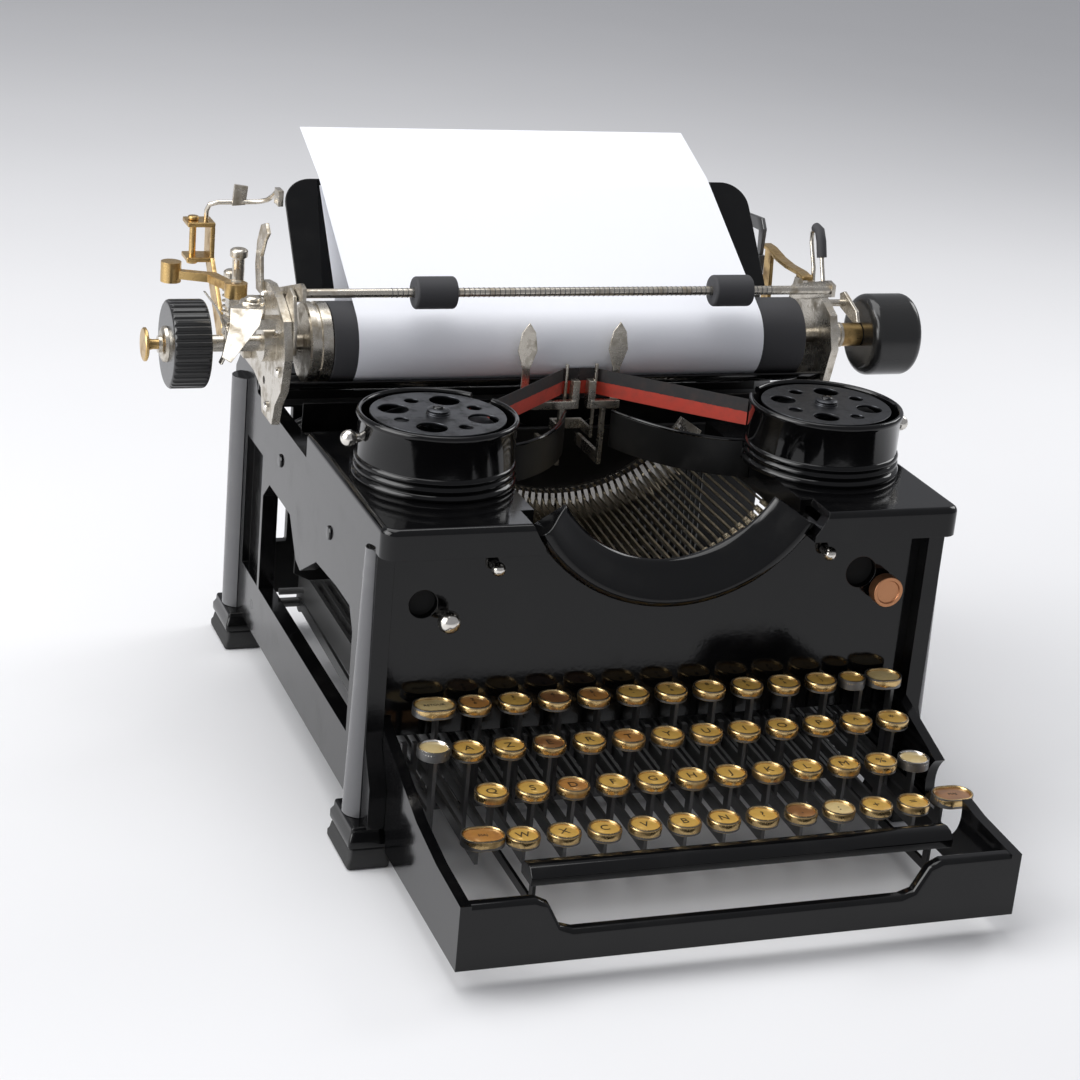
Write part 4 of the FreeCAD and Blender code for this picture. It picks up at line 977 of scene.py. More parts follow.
# ---- type basket ----
@dataclass
class TypeBasket:
    """The fan of typebars in its slotted arc."""

    count: int = 43
    middle: int = 22
    pitch: float = 2.5
    pivot_radius: float = 87.0
    pivot_y: float = 268.0
    platen_z: float = 196.4
    length: float = 88.45
    drop: float = 5.0
    tail_radius: float = 100.0
    wire_foot: float = 58.0

    def build(self) -> None:
        """Builds every piece of the basket."""
        pivot = tuple(place(0, 0, self.platen_z))
        self.bar("typebar_fan", "root", "typebars")
        REPEATER.repeat(
            bpy.data.objects["typebar_fan"], Finish.BARS, Count=self.count, Skip=self.middle,
            Turn=-math.radians(self.pitch),
            Start=math.radians(self.pitch * self.middle), Axis=(0.0, 1.0, 0.0), Pivot=pivot,
            Jitter=math.radians(0.12),
        )
        self.bar("middle_typebar", "centre_typebar", "centre_typebar")
        self.links()
        self.sub_levers()
        self.back_plate()
        self.segment()
        refine("segment_bracket", Finish.INNER, 0.6)
        refine("type_guide", Finish.NICKEL, 0.3)
        refine("ribbon_vibrator", Finish.NICKEL, 0.25)
        self.shield()

    def segment(self) -> None:
        """The slotted arc: bright teeth with a face that slopes in, on a ring behind them."""
        form = Form()
        side = [(80.0, 270.0), (80.6, 268.6), (93.4, 263.4), (94.0, 264.0), (94.0, 273.0), (80.0, 273.0)]
        half = math.radians(self.pitch) / 2
        form.skin(
            [[Vector((way * (r * half - 0.78), y, self.platen_z - r)) for r, y in side] for way in (-1, 1)]
        )
        teeth = form.piece("segment_teeth", "root", [Finish.BRIGHT], ["type_segment"])
        REPEATER.repeat(
            teeth, Finish.BRIGHT, Count=self.count + 2, Turn=-math.radians(self.pitch), Axis=(0.0, 1.0, 0.0),
            Start=math.radians(self.pitch * (self.middle + 0.5)), Pivot=tuple(place(0, 0, self.platen_z)),
        )
        form = Form()
        form.turned(
            "Y", (0, 0, self.platen_z), [(80, 273), (94, 273), (94, 276), (80, 276)], ring=True,
            span=(123.0, 237.0), steps=180
        )
        form.piece("segment_ring", "root", [Finish.NICKEL], edge=0.3)

    def spot(self, along: float, up: float) -> tuple[float, float]:
        """Gives a point on the bar in the middle plane, along it from its pivot and across it."""
        drop = math.radians(self.drop)
        level = self.platen_z - self.pivot_radius
        return (self.pivot_y - along * math.cos(drop) - up * math.sin(drop),
                level - along * math.sin(drop) + up * math.cos(drop))

    def bar(self, name: str, body: str, node: str) -> None:
        """One typebar at rest in the middle plane, with its hub, tail and two raised types."""
        form = Form()
        tip = self.length
        arm = [(0, -2.6), (tip * 0.3, -2.3), (tip * 0.62, -2.5), (tip - 12, -1.7), (tip - 4, -1.6),
               (tip - 4, 1.6), (tip - 14, 1.8), (tip * 0.62, 1.4), (tip * 0.3, 2.3), (0, 2.6)]
        form.prism("X", [self.spot(a, b) for a, b in arm], -0.6, 0.6)
        form.turned(
            "X", (0, self.pivot_y, self.platen_z - self.pivot_radius),
            [(1.1, -0.6), (4, -0.6), (4, 0.6), (1.1, 0.6)], ring=True, steps=16
        )
        form.prism(
            "X", [self.spot(a, b) for a, b in ((-1.5, -11.5), (1.5, -11.5), (1.8, -2), (-1.8, -2))], -0.6, 0.6
        )
        head = [(tip - 4.6, -2.2), (tip + 2.6, -2.2), (tip + 2.9, 1.6), (tip + 1.6, 2.6), (tip - 4.6, 2.6)]
        form.prism("X", [self.spot(a, b) for a, b in head], -1.45, 1.45)
        for low in (tip - 3.6, tip - 0.2):
            form.prism(
                "X",
                [
                    self.spot(a, b)
                    for a, b in ((low, 2.5), (low + 2.2, 2.5), (low + 1.9, 3.1), (low + 0.3, 3.1))
                ],
                -1.1, 1.1
            )
        form.piece(name, body, [Finish.BARS], [node], edge=0.18, steps=1)

    def links(self) -> None:
        """The pull wires that hang from the typebars' tails."""
        form = Form()
        for index in range(self.count + 1):
            if index == self.middle:
                continue
            angle = math.radians(self.pitch * (index - self.middle))
            x, top = self.tail_radius * math.sin(angle), self.platen_z - self.tail_radius * math.cos(angle)
            bowed = (x, self.pivot_y - 0.6, (top + self.wire_foot) / 2)
            form.tube([(x, self.pivot_y, top), bowed, (x, self.pivot_y, self.wire_foot)], 0.6, 6)
        form.piece("pull_wires", "root", [Finish.STEEL])

    def sub_levers(self) -> None:
        """The dark upright levers under the basket that the pull wires hang on."""
        form = Form()
        side = [(158, 50), (176, 60), (300, 61), (322, 56), (322, 46), (240, 44.5), (158, 45)]
        form.prism("X", side, -117.0, -115.0)
        levers = form.piece("sub_levers", "root", [Finish.STEEL])
        REPEATER.repeat(levers, Finish.STEEL, Count=44, Step=(5.395 * MM, 0.0, 0.0))
        for y, z in ((166, 52), (312, 51)):
            form = Form()
            form.turned("X", (0, y, z), [(0, -129.6), (1.8, -129.6), (1.8, 129.6), (0, 129.6)], steps=16)
            form.piece(f"sub_lever_shaft_{y}", "root", [Finish.STEEL])

    def back_plate(self) -> None:
        """The dark plate behind the slotted arc, which closes the basket from behind."""
        form = Form()
        outline = [(-126, 156.4), (126, 156.4), (126, 66), (118, 62), (-118, 62), (-126, 66)]
        form.prism("Y", outline, 298.6, 300.0)
        form.piece("basket_back_plate", "root", [Finish.INNER], edge=0.4)

    def shield(self) -> None:
        """The dark smooth bowl behind the slotted arc, clear of the swinging bars."""
        form = Form()
        profile = [
            (80, 276.2), (78, 277.0), (62, 280.4), (50, 281.2), (50, 282.4), (62, 281.6), (78, 278.4),
            (80, 277.8)
        ]
        form.turned("Y", (0, 0, self.platen_z), profile, ring=True, span=(142.5, 217.5), steps=180)
        form.piece("arc_shield", "root", [Finish.ENAMEL], smooth=45)


# ---- keyboard ----
@dataclass(frozen=True)
class KeyRow:
    """One typing row: where its keys stand, what they carry and which cards have browned."""

    body: str
    first: float
    y: float
    top: float
    legends: tuple[str, ...]
    odd: dict[int, Finish] = field(default_factory=dict)


@dataclass(frozen=True)
class SingleKey:
    """A key that doesn't type: where it stands, how long it is, and its finishes."""

    body: str
    x: float
    y: float
    top: float
    length: float
    legend: str
    ring: Finish = Finish.RING
    card: Finish = Finish.CARD


def home_key(number: int) -> str:
    """Gives the name of a home key's body, counted from 0 at the left."""
    return f"home_key_{number + 1:02d}"


@dataclass
class Keyboard:
    """The ringed keys, their levers and the space bar."""

    pitch: float = 19.05
    radius: float = 7.7
    rows: tuple[KeyRow, ...] = (
        KeyRow(
            "digit_row_keys", -88.7, 117.7, 75.2,
            ("2\né", "3\n\"", "4\n'", "5\n(", "6\n-", "7\nè", "8\n_", "9\nç", "0\nà", "°\n)"),
            {2: Finish.BROWN, 3: Finish.AMBER, 0: Finish.AMBER}
        ),
        KeyRow(
            "upper_row_keys", -96.4, 99.3, 62.0, tuple("AZERTYUIOP^*"), {2: Finish.BROWN, 4: Finish.AMBER}
        ),
        KeyRow("home_key", -90.5, 81.3, 49.3, tuple("QSDFGHJKLM%"), {2: Finish.AMBER}),
        KeyRow("lower_row_keys", -80.8, 63.4, 36.3, tuple("WXCVBN?.:+="), {7: Finish.BROWN, 8: Finish.CREAM}),
    )
    singles: tuple[SingleKey, ...] = (
        SingleKey("shift_lock_key", -112.3, 100.0, 63.0, 15.0, "", Finish.BRIGHT, Finish.CREAM),
        SingleKey("backspace_key", -107.6, 117.7, 75.2, 20.0, "RETOUR", card=Finish.CREAM),
        SingleKey("tab_key", 99.0, 117.7, 75.2, 13.0, ""),
        SingleKey("margin_release_key", 115.5, 117.7, 75.2, 18.0, "", card=Finish.CREAM),
        SingleKey("ribbon_reverse_key", 116.9, 81.3, 49.3, 15.0, "", Finish.BRIGHT, Finish.CREAM),
        SingleKey("shift_keys", -98.4, 66.0, 36.3, 20.0, "MAJ", card=Finish.AMBER),
        SingleKey("shift_keys", 129.5, 63.4, 38.5, 20.0, "MAJ", card=Finish.BROWN),
    )

    def build(self) -> None:
        """Builds every key."""
        for row in self.rows:
            self.row(row)
        for number, key in enumerate(self.singles):
            ring, card, form = key.ring, key.card, Form()
            self.cap(form, key.x, key.y, key.top, key.length, key.legend, 1)
            form.piece(f"{key.body}_cap_{number}", key.body, [ring, card, Finish.INK], smooth=40)
        grouped = {row.body for row in self.rows if row.body != "home_key"}
        home = {home_key(number) for number, _ in enumerate(self.rows[2].legends)}
        for body in sorted(grouped | home | {key.body for key in self.singles}):
            refine(body, Finish.STEEL, 0)
        refine("space_bar", Finish.ENAMEL, 0.6)
        refine("key_lever_comb", Finish.STEEL, 0)

    def row(self, row: KeyRow) -> None:
        """Builds the caps of a row: one piece, or one for each key of the home row."""
        finishes = [Finish.RING, Finish.CARD, Finish.INK] + list(dict.fromkeys(row.odd.values()))
        form = Form()
        for number, legend in enumerate(row.legends):
            card = finishes.index(row.odd[number]) if number in row.odd else 1
            self.cap(form, row.first + self.pitch * number, row.y, row.top, 2 * self.radius, legend, card)
            if row.body == "home_key":
                name = home_key(number)
                form.piece(name + "_cap", name, finishes, smooth=40)
                form = Form()
        if row.body != "home_key":
            form.piece(row.body + "_caps", row.body, finishes, smooth=40)

    def cap(self, form: Form, x: float, y: float, top: float, length: float, legend: str, card: int) -> None:
        """Draws one key cap: a rolled ring, the card under it and the printed legend.

        Args:
            form: the mesh that takes it.
            x, y, top: the middle of its face.
            length: its length across; over 15 mm makes an oval.
            legend: what is printed on it.
            card: the number of the card's finish.
        """
        radius = min(length / 2, self.radius)
        longer = max(0.0, length / 2 - radius)
        ring = [
            (radius - 3.2, -5.6), (radius - 0.9, -5.0), (radius - 0.25, -4.0), (radius - 0.05, -2.6),
            (radius, -1.2), (radius - 0.12, -0.4), (radius - 0.45, 0.02), (radius - 0.85, 0.1),
            (radius - 1.15, -0.12), (radius - 1.3, -0.6), (radius - 1.3, -1.4), (radius - 3.2, -1.6)
        ]
        form.finish = 0
        form.turned("Z", (x, y, top), ring, ring=True, steps=36, longer=longer)
        form.finish = card
        inner = radius - 1.2
        dome = [(inner, -0.95), (inner * 0.75, -0.72), (inner * 0.4, -0.6), (0, -0.56)]
        form.turned("Z", (x, y, top), dome, steps=36, longer=longer)
        if longer:
            form.face([form.work.verts.new(place_on) for place_on in (
                Vector((x - longer, y - 0.4, top - 0.6)), Vector((x + longer, y - 0.4, top - 0.6)),
                Vector((x + longer, y + 0.4, top - 0.6)), Vector((x - longer, y + 0.4, top - 0.6)))])
        form.finish = 2
        if legend:
            size = 3.6 if "\n" in legend else 2.6 if len(legend) > 1 else 6.4
            form.text(legend, (x, y + (1.3 if "\n" in legend else 0), top - 0.5), size)
        form.finish = 0


# ---- carriage ----
@dataclass
class Carriage:
    """The sliding carriage: rail, end plates, platen, bail, table and hand levers."""

    platen_y: float = 271.5
    platen_z: float = 196.4
    left: float = -146.0
    right: float = 133.0
    bail_y: float = 249.0
    bail_z: float = 226.7
    plain: tuple[tuple[str, Finish, float], ...] = (
        ("carriage_rail", Finish.STEEL, 0.4), ("carriage_base", Finish.INNER, 0.5),
        ("carriage_frame", Finish.NICKEL, 0.6),
        ("platen", Finish.PLATEN, 0.5), ("platen_knobs", Finish.KNOB, 0.3),
        ("feed_roller", Finish.PLATEN, 0.4), ("paper_table", Finish.ENAMEL, 0.5),
        ("paper_bail", Finish.NICKEL, 0.4),
        ("bail_rollers", Finish.PLATEN, 0.3),
        ("carriage_release_lever", Finish.BRASS, 0.7),
        ("mainspring_drum", Finish.STEEL, 0.5), ("touch_control_knob", Finish.BRIGHT, 0.2),
        ("ribbon_selector_knob", Finish.COPPER, 0.4),
    )

    def build(self) -> None:
        """Builds every piece of the carriage."""
        for node, finish, edge in self.plain:
            refine(node, finish, edge)
        self.rack()
        self.bail_marks()
        self.axle()

    def axle(self) -> None:
        """The axle with its brass button, the ratchet ring at the platen's end and the right sleeve."""
        form = Form()
        middle = (0.0, self.platen_y, self.platen_z)
        form.turned("X", middle, [(0, -205), (4, -205), (4, 177.5), (0, 177.5)], steps=32)
        form.turned(
            "X", middle,
            [
                (4, -136), (18.6, -136), (19.5, -135.2), (19.5, -132.2), (18.2, -131.9), (18.2, -130.2),
                (19.5, -129.9), (19.5, -125.2), (18.8, -124.6), (4, -124.6)
            ],
            ring=True, steps=72
        )
        form.turned(
            "X", middle, [(4, -203.6), (6.6, -203.6), (8.2, -202.6), (8.6, -201.1), (4, -201.1)], ring=True,
            steps=40
        )
        form.turned(
            "X", middle,
            [
                (4, 142.2), (6.4, 142.2), (6.8, 143), (6.4, 143.8), (5.9, 144.4), (5.9, 147), (6.4, 147.6),
                (6.4, 149), (4, 149)
            ],
            ring=True, steps=40
        )
        form.finish = 1
        form.turned(
            "X", middle,
            [
                (0, -212), (7.4, -212), (8, -211.5), (8, -210.6), (7.2, -210.1), (2.8, -209.4), (2.4, -207.5),
                (2.4, -204.9), (0, -204.9)
            ],
            steps=40
        )
        form.turned("X", middle, [(4, 149), (6, 149), (6, 159.6), (4, 159.6)], ring=True, steps=40)
        form.piece(
            "platen_axle_turned", body_of("platen_axle"), [Finish.NICKEL, Finish.BRASS], ["platen_axle"]
        )

    def rack(self) -> None:
        """The escapement rack's teeth along the back of the base."""
        form = Form()
        form.prism(
            "X", [(352.6, 165.0), (355.4, 165.4), (355.4, 169.4), (352.6, 171.4)], self.left + 8,
            self.left + 9.3
        )
        teeth = form.piece("rack_teeth", "carriage_base", [Finish.STEEL])
        REPEATER.repeat(teeth, Finish.STEEL, Count=104, Step=(2.54 * MM, 0.0, 0.0))

    def bail_marks(self) -> None:
        """The raised scale marks round the bail rod."""
        form = Form()
        form.turned(
            "X", (-100.0, self.bail_y, self.bail_z), [(2.0, 0), (2.35, 0.1), (2.35, 0.5), (2.0, 0.6)],
            ring=True, steps=12
        )
        marks = form.piece("bail_scale", "paper_bail", [Finish.STEEL])
        REPEATER.repeat(marks, Finish.STEEL, Count=78, Step=(2.54 * MM, 0.0, 0.0))


# ---- carriage end fittings ----
@dataclass
class EndFittings:
    """The small brackets, links, levers and pins at the carriage's two ends."""

    left: float = -150.0
    right: float = 137.0
    line_pivot: tuple[float, float] = (-163.0, 262.0)
    release_pivot: tuple[float, float] = (294.0, 200.0)

    def build(self) -> None:
        """Builds every fitting."""
        self.left_castings()
        self.release_bracket()
        self.line_lever()
        self.end_screws()
        self.paper_release()
        self.right_bracket()

    def left_castings(self) -> None:
        """The upright hook, the guide posts with their spring and the plate behind the levers."""
        form = Form()
        hook = [
            (292, 214), (302, 214), (306, 226), (304, 238), (298, 247), (289, 250), (284, 246), (290, 241),
            (296, 232)
        ]
        form.prism("X", hook, self.left - 1.8, self.left)
        form.prism(
            "X", [(310, 182), (338, 182), (336, 196), (324, 206), (312, 204)], self.left - 3.4,
            self.left - 1.0
        )
        form.block((self.left - 4.0, 312, 176), (self.left, 336, 183))
        form.prism(
            "X", [(250, 196), (262, 200), (268, 220), (262, 226), (254, 224), (249, 210)], self.left + 4.2,
            self.left + 6.0
        )
        for y, top in ((322, 228), (334, 214)):
            post = [
                (0, 0), (4.2, 0), (4.2, 3), (3.0, 4), (3.0, top - 186), (4.4, top - 185), (4.4, top - 182),
                (3.2, top - 181), (0, top - 181)
            ]
            form.turned("Z", (self.left - 6.0, y, 182), post, steps=28)
        turns, low, high = 7, 187.0, 206.0
        coil = [
            (
                self.left - 6.0 + 4.3 * math.cos(a), 334 + 4.3 * math.sin(a),
                low + (high - low) * a / (2 * math.pi * turns)
            )
            for a in (2 * math.pi * turns * step / (16 * turns) for step in range(16 * turns + 1))
        ]
        form.tube(coil, 0.55, 6)
        form.piece("left_end_castings", "carriage_frame", [Finish.NICKEL], edge=0.3, steps=1)

    def release_bracket(self) -> None:
        """The brassy yoke behind the left end and the bent rod from it to the paper table."""
        form = Form()
        form.block((-172, 366, 228), (-158, 380, 230.4))
        form.block((-172, 366, 210), (-158, 380, 212.4))
        form.block((-160.4, 366, 212.2), (-158, 380, 228.2))
        form.turned(
            "Z", (-168, 373, 208),
            [(0, 0), (2.8, 0), (2.8, 1.9), (1.7, 2), (1.7, 22.5), (2.8, 22.6), (2.8, 24.4), (0, 24.8)],
            steps=24
        )
        form.prism(
            "X", [(334, 178), (344, 176), (378, 208), (378, 214), (368, 214), (336, 186)], -160, -157.8
        )
        form.block((-158, 334, 176), (self.left + 4, 343, 183.8))
        form.piece("release_yoke", "carriage_frame", [Finish.BRASS], edge=0.5, steps=2)
        rod = Form()
        rod.tube(
            [
                (-162, 371, 229), (-162, 370, 236), (-161, 368, 239.5), (-157, 366, 241), (-147, 364, 241.6),
                (-138, 361, 242.6), (-134.5, 357, 244.5), (-133.2, 351, 248), (-132.6, 345, 252)
            ],
            1.25, 12
        )
        rod.block((-134.0, 337, 246), (-131.2, 345, 254))
        rod.prism("Y", [(-151, 240), (-144, 240.5), (-143, 250), (-150, 251)], 362.5, 364.0)
        rod.piece("table_link", "carriage_frame", [Finish.NICKEL], edge=0.2, steps=1)

    def line_lever(self) -> None:
        """The line-space lever: a hub, a folded tapering blade and a thin curved finger."""
        form = Form()
        spine = [
            (-187.3, 226.1), (-184.6, 222.6), (-181.4, 218.4), (-178.8, 213.6), (-177.2, 207.8),
            (-176.4, 201.0), (-176.9, 195.4), (-178.6, 191.6)
        ]
        form.skin(
            [
                [Vector((x + a, 255 + b, z)) for a, b in ((-0.6, -2.2), (0.6, -2.2), (0.6, 2.2), (-0.6, 2.2))]
                for x, z in spine
            ]
        )
        form.prism("Z", [(-179, 243.5), (-176, 246), (-177, 256.5), (-179.4, 256.5)], 212.9, 214.6)
        form.turned(
            "Z", (*self.line_pivot, 0),
            [(2.7, 212), (5.6, 212), (6, 212.4), (6, 219.6), (5.6, 220), (2.7, 220)],
            ring=True, steps=40
        )
        form.turned(
            "Z", (*self.line_pivot, 0), [(0, 220.1), (3.6, 220.1), (3.6, 221.2), (2.6, 221.9), (0, 222.2)],
            steps=24
        )
        form.prism(
            "Z", [(-167.5, 262), (-160, 265), (-158, 258), (-160, 250), (-176, 252), (-176, 255)], 216.8,
            219.0
        )
        blade = [
            (-176, 253, 219.0), (-161, 250, 219.0), (-164, 244, 213.0), (-181, 226, 201.0),
            (-185, 227, 203.5), (-178, 244, 213.5)
        ]
        form.skin(
            [[Vector(point) + Vector(shift) for point in blade] for shift in ((0, 0, 0), (0.3, -1.3, 0.3))]
        )
        form.piece(
            "line_lever_blade", body_of("line_space_lever"), [Finish.NICKEL], ["line_space_lever"], edge=0.3,
            steps=2
        )

    def end_screws(self) -> None:
        """Domed and slotted screws on both end plates."""
        form = Form()
        for y, z in ((257, 186), (262, 206), (292, 214), (276, 163), (320, 178), (336, 178)):
            form.turned(
                "X", (self.left, y, z), [(0, 0.3), (2.6, 0.3), (2.6, -0.9), (1.8, -1.7), (0, -2.0)], steps=20
            )
            form.turned(
                "X", (self.right, y, z), [(0, -0.3), (2.6, -0.3), (2.6, 0.9), (1.8, 1.7), (0, 2.0)], steps=20
            )
        form.piece("end_plate_screws", "carriage_frame", [Finish.BRIGHT])

    def paper_release(self) -> None:
        """The wire lever at the right end: a hub, a looped wire and its grey sleeve."""
        form = Form()
        x = self.right + 3.6
        form.turned(
            "X", (self.right + 0.3, *self.release_pivot),
            [(0, 0), (5.4, 0), (6, 0.6), (6, 2.4), (5.4, 3.0), (2.4, 3.2), (2.2, 4.4), (0, 4.6)], steps=32
        )
        form.turned(
            "X", (self.right - 4.0, *self.release_pivot), [(0, 0), (2, 0), (2, 4.5), (0, 4.5)], steps=20
        )
        loop = [
            (x, 292, 204), (x, 291, 214), (x, 293, 226), (x, 299, 238), (x, 299.5, 243), (x, 296.5, 246.5),
            (x, 291.5, 246), (x, 288, 241), (x, 284, 230), (x, 280.5, 222)
        ]
        form.tube(loop, 1.1, 12)
        form.finish = 1
        form.tube([(x, 296.2, 246.6), (x, 291.5, 246), (x, 288.2, 241.2), (x, 285.4, 233.6)], 2.6, 16)
        form.piece(
            "paper_release_wire", body_of("paper_release_lever"), [Finish.NICKEL, Finish.PLATEN],
            ["paper_release_lever"], smooth=50
        )

    def right_bracket(self) -> None:
        """The brassy bent strip, the small grey lever and the dark hook at the right end."""
        form = Form()
        spine = [(338, 226.5), (330, 226.3), (318, 224.0), (306, 223.2), (292, 223.6), (284, 222.6)]
        form.skin(
            [
                [Vector((x, y, z + b)) for x, b in ((130.6, -1), (136.6, -1), (136.6, 1), (130.6, 1))]
                for y, z in spine
            ]
        )
        form.prism("X", [(286, 212), (300, 212), (300, 224), (286, 224)], self.right - 2.6, self.right - 0.2)
        form.prism("X", [(322, 184), (332, 184), (334, 226), (326, 226)], 131.4, 133.4)
        form.piece("right_end_strip", "carriage_frame", [Finish.BRASS], edge=0.4, steps=2)
        lever = Form()
        lever.tube([(self.right - 0.4, 266, 215), (self.right + 10, 266, 215)], 1.8, 16)
        lever.prism(
            "X", [(270, 219), (266, 221), (250, 215), (247, 210), (252, 208.5), (268, 212)], self.right + 8.4,
            self.right + 10.4
        )
        lever.piece("small_grey_lever", "carriage_frame", [Finish.NICKEL], edge=0.5, steps=2)
        hook = Form()
        hook.prism(
            "X", [(344, 243), (322, 245), (318, 240), (319, 226), (323, 226), (324, 238), (343, 237)], 121.5,
            123.6
        )
        hook.prism("X", [(318, 200), (332, 200), (334, 226), (318, 226)], 121.0, 124.2)
        hook.block((118.0, 318, 184), (124.2, 332, 201))
        hook.piece("table_hook_right", "carriage_frame", [Finish.STEEL], edge=0.4, steps=2)


# ---- paper ----
@dataclass
class Letter:
    """The sheet of writing paper round the platen."""

    left: float = -112.9
    width: float = 210.0
    length: float = 297.0
    radius: float = 19.9
    platen_y: float = 271.5
    platen_z: float = 196.4
    top: tuple[float, float] = (383.0, 276.15)
    table: tuple[tuple[float, float], tuple[float, float]] = ((303.0, 214.0), (343.0, 259.0))
    half_thick: float = 0.06
    columns: int = 12

    def touch(self, point: tuple[float, float], sign: int) -> tuple[float, float]:
        """Finds where a line from a point touches the sheet's bend round the platen.

        Args:
            point: the point, in side view.
            sign: 1 for the line over the platen, -1 for the one behind it.

        Returns:
            The angle round the platen in radians, and the line's length.
        """
        y, z = point[0] - self.platen_y, point[1] - self.platen_z
        away = math.hypot(y, z)
        angle = math.atan2(z, y) + sign * math.acos(self.radius / away)
        return angle, math.sqrt(away ** 2 - self.radius ** 2)

    def path(self) -> list[tuple[float, float]]:
        """Gives the sheet's line in side view, from its top edge to its tail."""
        (low_y, low_z), (high_y, high_z) = self.table
        lean = math.atan2(high_z - low_z, high_y - low_y)
        bend = (high_y - 1, high_z + 1.65)
        foot = (low_y - 1 + 0.15 * math.sin(lean), low_z + 1 - 0.15 * math.cos(lean))
        (first, rise), (last, run_in) = self.touch(bend, 1), self.touch(foot, -1)
        last += 2 * math.pi
        wrap = [first + (last - first) * step / 48 for step in range(49)]
        wrapped = [
            (self.platen_y + self.radius * math.cos(a), self.platen_z + self.radius * math.sin(a))
            for a in wrap
        ]
        used = math.dist(self.top, bend) + rise + self.radius * (last - first) + run_in
        left_over = self.length - used
        tail = (foot[0] + left_over * math.cos(lean), foot[1] + left_over * math.sin(lean))
        before = self.fill(self.top, bend, 8) + self.fill(bend, wrapped[0], 12)
        return before + wrapped + self.fill(foot, tail, 8) + [tail]

    def fill(
        self, start: tuple[float, float], end: tuple[float, float], steps: int,
    ) -> list[tuple[float, float]]:
        """Divides a straight run into steps, without its last point."""
        across, up = end[0] - start[0], end[1] - start[1]
        return [(start[0] + across * step / steps, start[1] + up * step / steps) for step in range(steps)]

    def build(self) -> None:
        line = [Vector((0, y, z)) for y, z in self.path()]
        form = Form()
        rings = []
        for spot, point in enumerate(line):
            way = (line[min(spot + 1, len(line) - 1)] - line[max(spot - 1, 0)]).normalized()
            out = Vector((0, way.z, -way.y)) * self.half_thick
            face = [
                Vector((self.left + self.width * c / self.columns, point.y, point.z))
                for c in range(self.columns + 1)
            ]
            rings.append([p + out for p in face] + [p - out for p in face[::-1]])
        form.skin(rings)
        sheet = form.piece("letter_sheet", "carriage_frame", [Finish.PAPER], ["paper"], smooth=60)


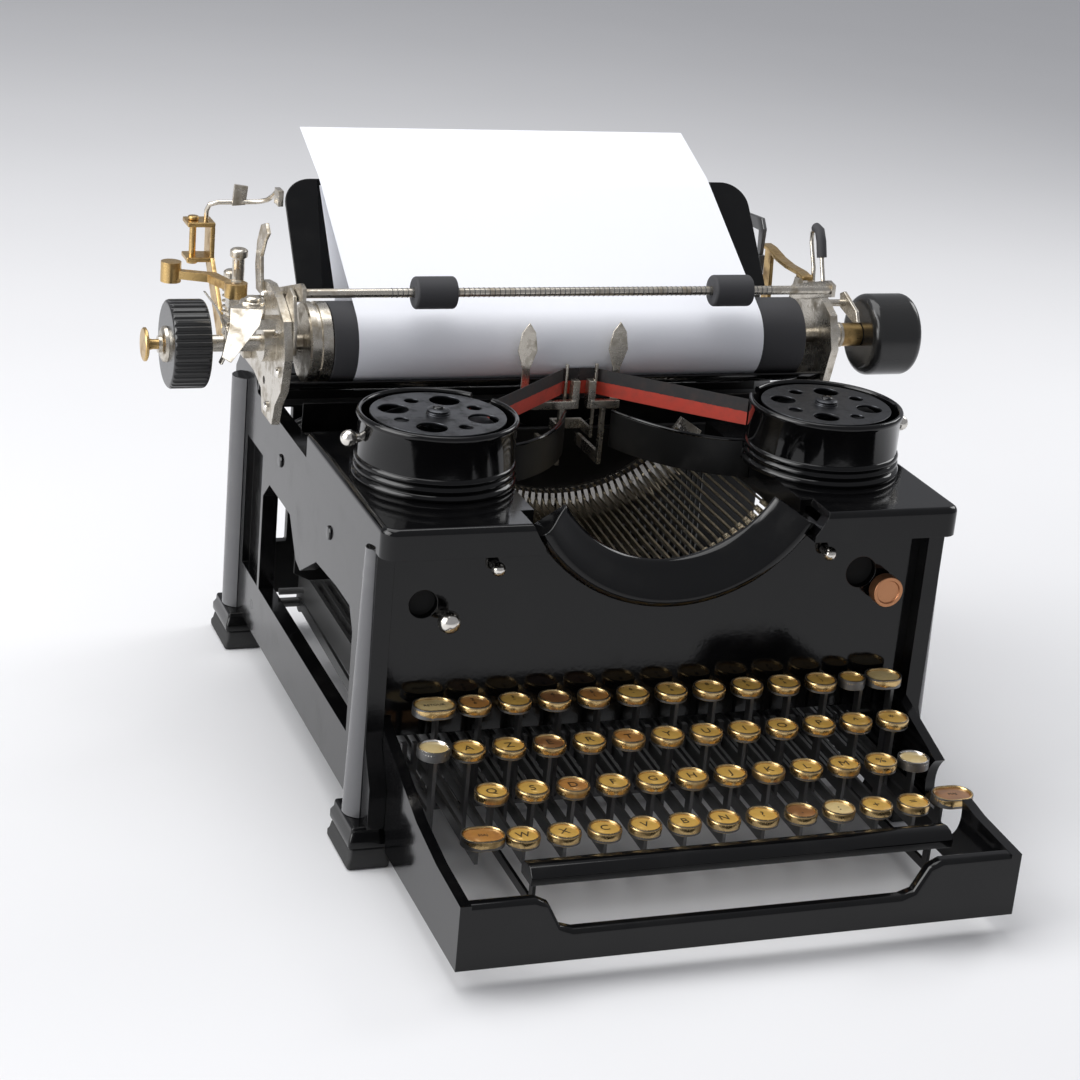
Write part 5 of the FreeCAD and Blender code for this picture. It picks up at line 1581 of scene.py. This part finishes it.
# ---- studio ----
@dataclass
class Studio:
    """The pale floor, the soft lights and the camera."""

    spot: Point = (-434.76, -837.83, 535.99)
    yaw: float = 21.26
    pitch: float = 20.64
    roll: float = 5.31
    lens: float = 83.1
    floor_half: float = 4.0
    floor_tints: tuple[Colour, Colour] = ((0.80, 0.80, 0.81), (0.84, 0.84, 0.85))
    surround: Colour = (0.66, 0.67, 0.71)
    surround_strength: float = 0.5

    def build(self) -> None:
        """Sets up the floor, the world, the lights and the camera."""
        self.floor()
        self.world()
        self.light("overhead", (-300, 500, 1600), (0, 180, 0), 1.4, 17.5)
        self.light("left_wall", (-2000, 250, 1300), (0, 200, 100), 1.8, 30.0)
        self.light("right_window", (1200, 700, 900), (0, 200, 100), 0.6, 5.0)
        card = self.light("left_reflector", (-1700, -150, 900), (0, 200, 150), 1.6, 30.0)
        card.visible_diffuse = False
        bpy.context.scene.view_settings.view_transform = "Standard"
        self.camera()

    def floor(self) -> None:
        """The plain pale floor."""
        mesh = bpy.data.meshes.new("floor")
        half = self.floor_half
        mesh.from_pydata(
            [(-half, -half, 0), (half, -half, 0), (half, half, 0), (-half, half, 0)], [], [(0, 1, 2, 3)]
        )
        floor = bpy.data.objects.new("floor", mesh)
        bpy.context.scene.collection.objects.link(floor)
        shader = Shader("pale_floor")
        tint = shader.mix(shader.noise(3.0, 2.0), *self.floor_tints)
        mesh.materials.append(shader.dress(Base_Color=tint, Roughness=0.7))

    def world(self) -> None:
        """An even light grey surround."""
        world = bpy.data.worlds.new("surround")
        bpy.context.scene.world = world
        world.use_nodes = True
        back = world.node_tree.nodes["Background"]
        back.inputs[0].default_value = (*self.surround, 1.0)
        back.inputs[1].default_value = self.surround_strength

    def light(self, name: str, spot: Point, target: Point, size: float, power: float) -> bpy.types.Object:
        """Hangs a square soft light that faces a point.

        Args:
            name: the light's name.
            spot: where it hangs, in machine millimetres.
            target: the point it faces, in machine millimetres.
            size: its side in metres.
            power: its power in watts.

        Returns:
            The light's object.
        """
        lamp = bpy.data.lights.new(name, "AREA")
        lamp.shape, lamp.size, lamp.energy = "SQUARE", size, power
        holder = bpy.data.objects.new(name, lamp)
        bpy.context.scene.collection.objects.link(holder)
        holder.location = place(*spot)
        holder.rotation_euler = (place(*target) - holder.location).to_track_quat("-Z", "Y").to_euler()
        return holder

    def camera(self) -> None:
        """The camera, turned by its yaw, pitch and roll."""
        yaw, pitch, roll = (math.radians(angle) for angle in (self.yaw, self.pitch, self.roll))
        ahead = Vector((math.sin(yaw) * math.cos(pitch), math.cos(yaw) * math.cos(pitch), -math.sin(pitch)))
        level = Vector((math.cos(yaw), -math.sin(yaw), 0))
        above = level.cross(ahead)
        right = level * math.cos(roll) + above * math.sin(roll)
        up = above * math.cos(roll) - level * math.sin(roll)
        lens = bpy.data.cameras.new("camera")
        lens.lens, lens.sensor_width = self.lens, 36.0
        lens.shift_x, lens.shift_y = -0.0031, 0.003
        holder = bpy.data.objects.new("camera", lens)
        bpy.context.scene.collection.objects.link(holder)
        turn = Matrix((right, up, -ahead)).transposed().to_4x4()
        holder.matrix_world = Matrix.Translation(place(*self.spot)) @ turn
        bpy.context.scene.camera = holder


def main() -> None:
    """Builds the machine, the paper and the studio."""
    logging.basicConfig(level=logging.INFO, format="%(name)s %(message)s")
    parts = (Body(), SpoolCups(), TypeBasket(), Keyboard(), Carriage(), EndFittings(), Letter(), Studio())
    for part in parts:
        LOG.info("building %s", type(part).__name__)
        part.build()


if __name__ == "__main__":
    main()
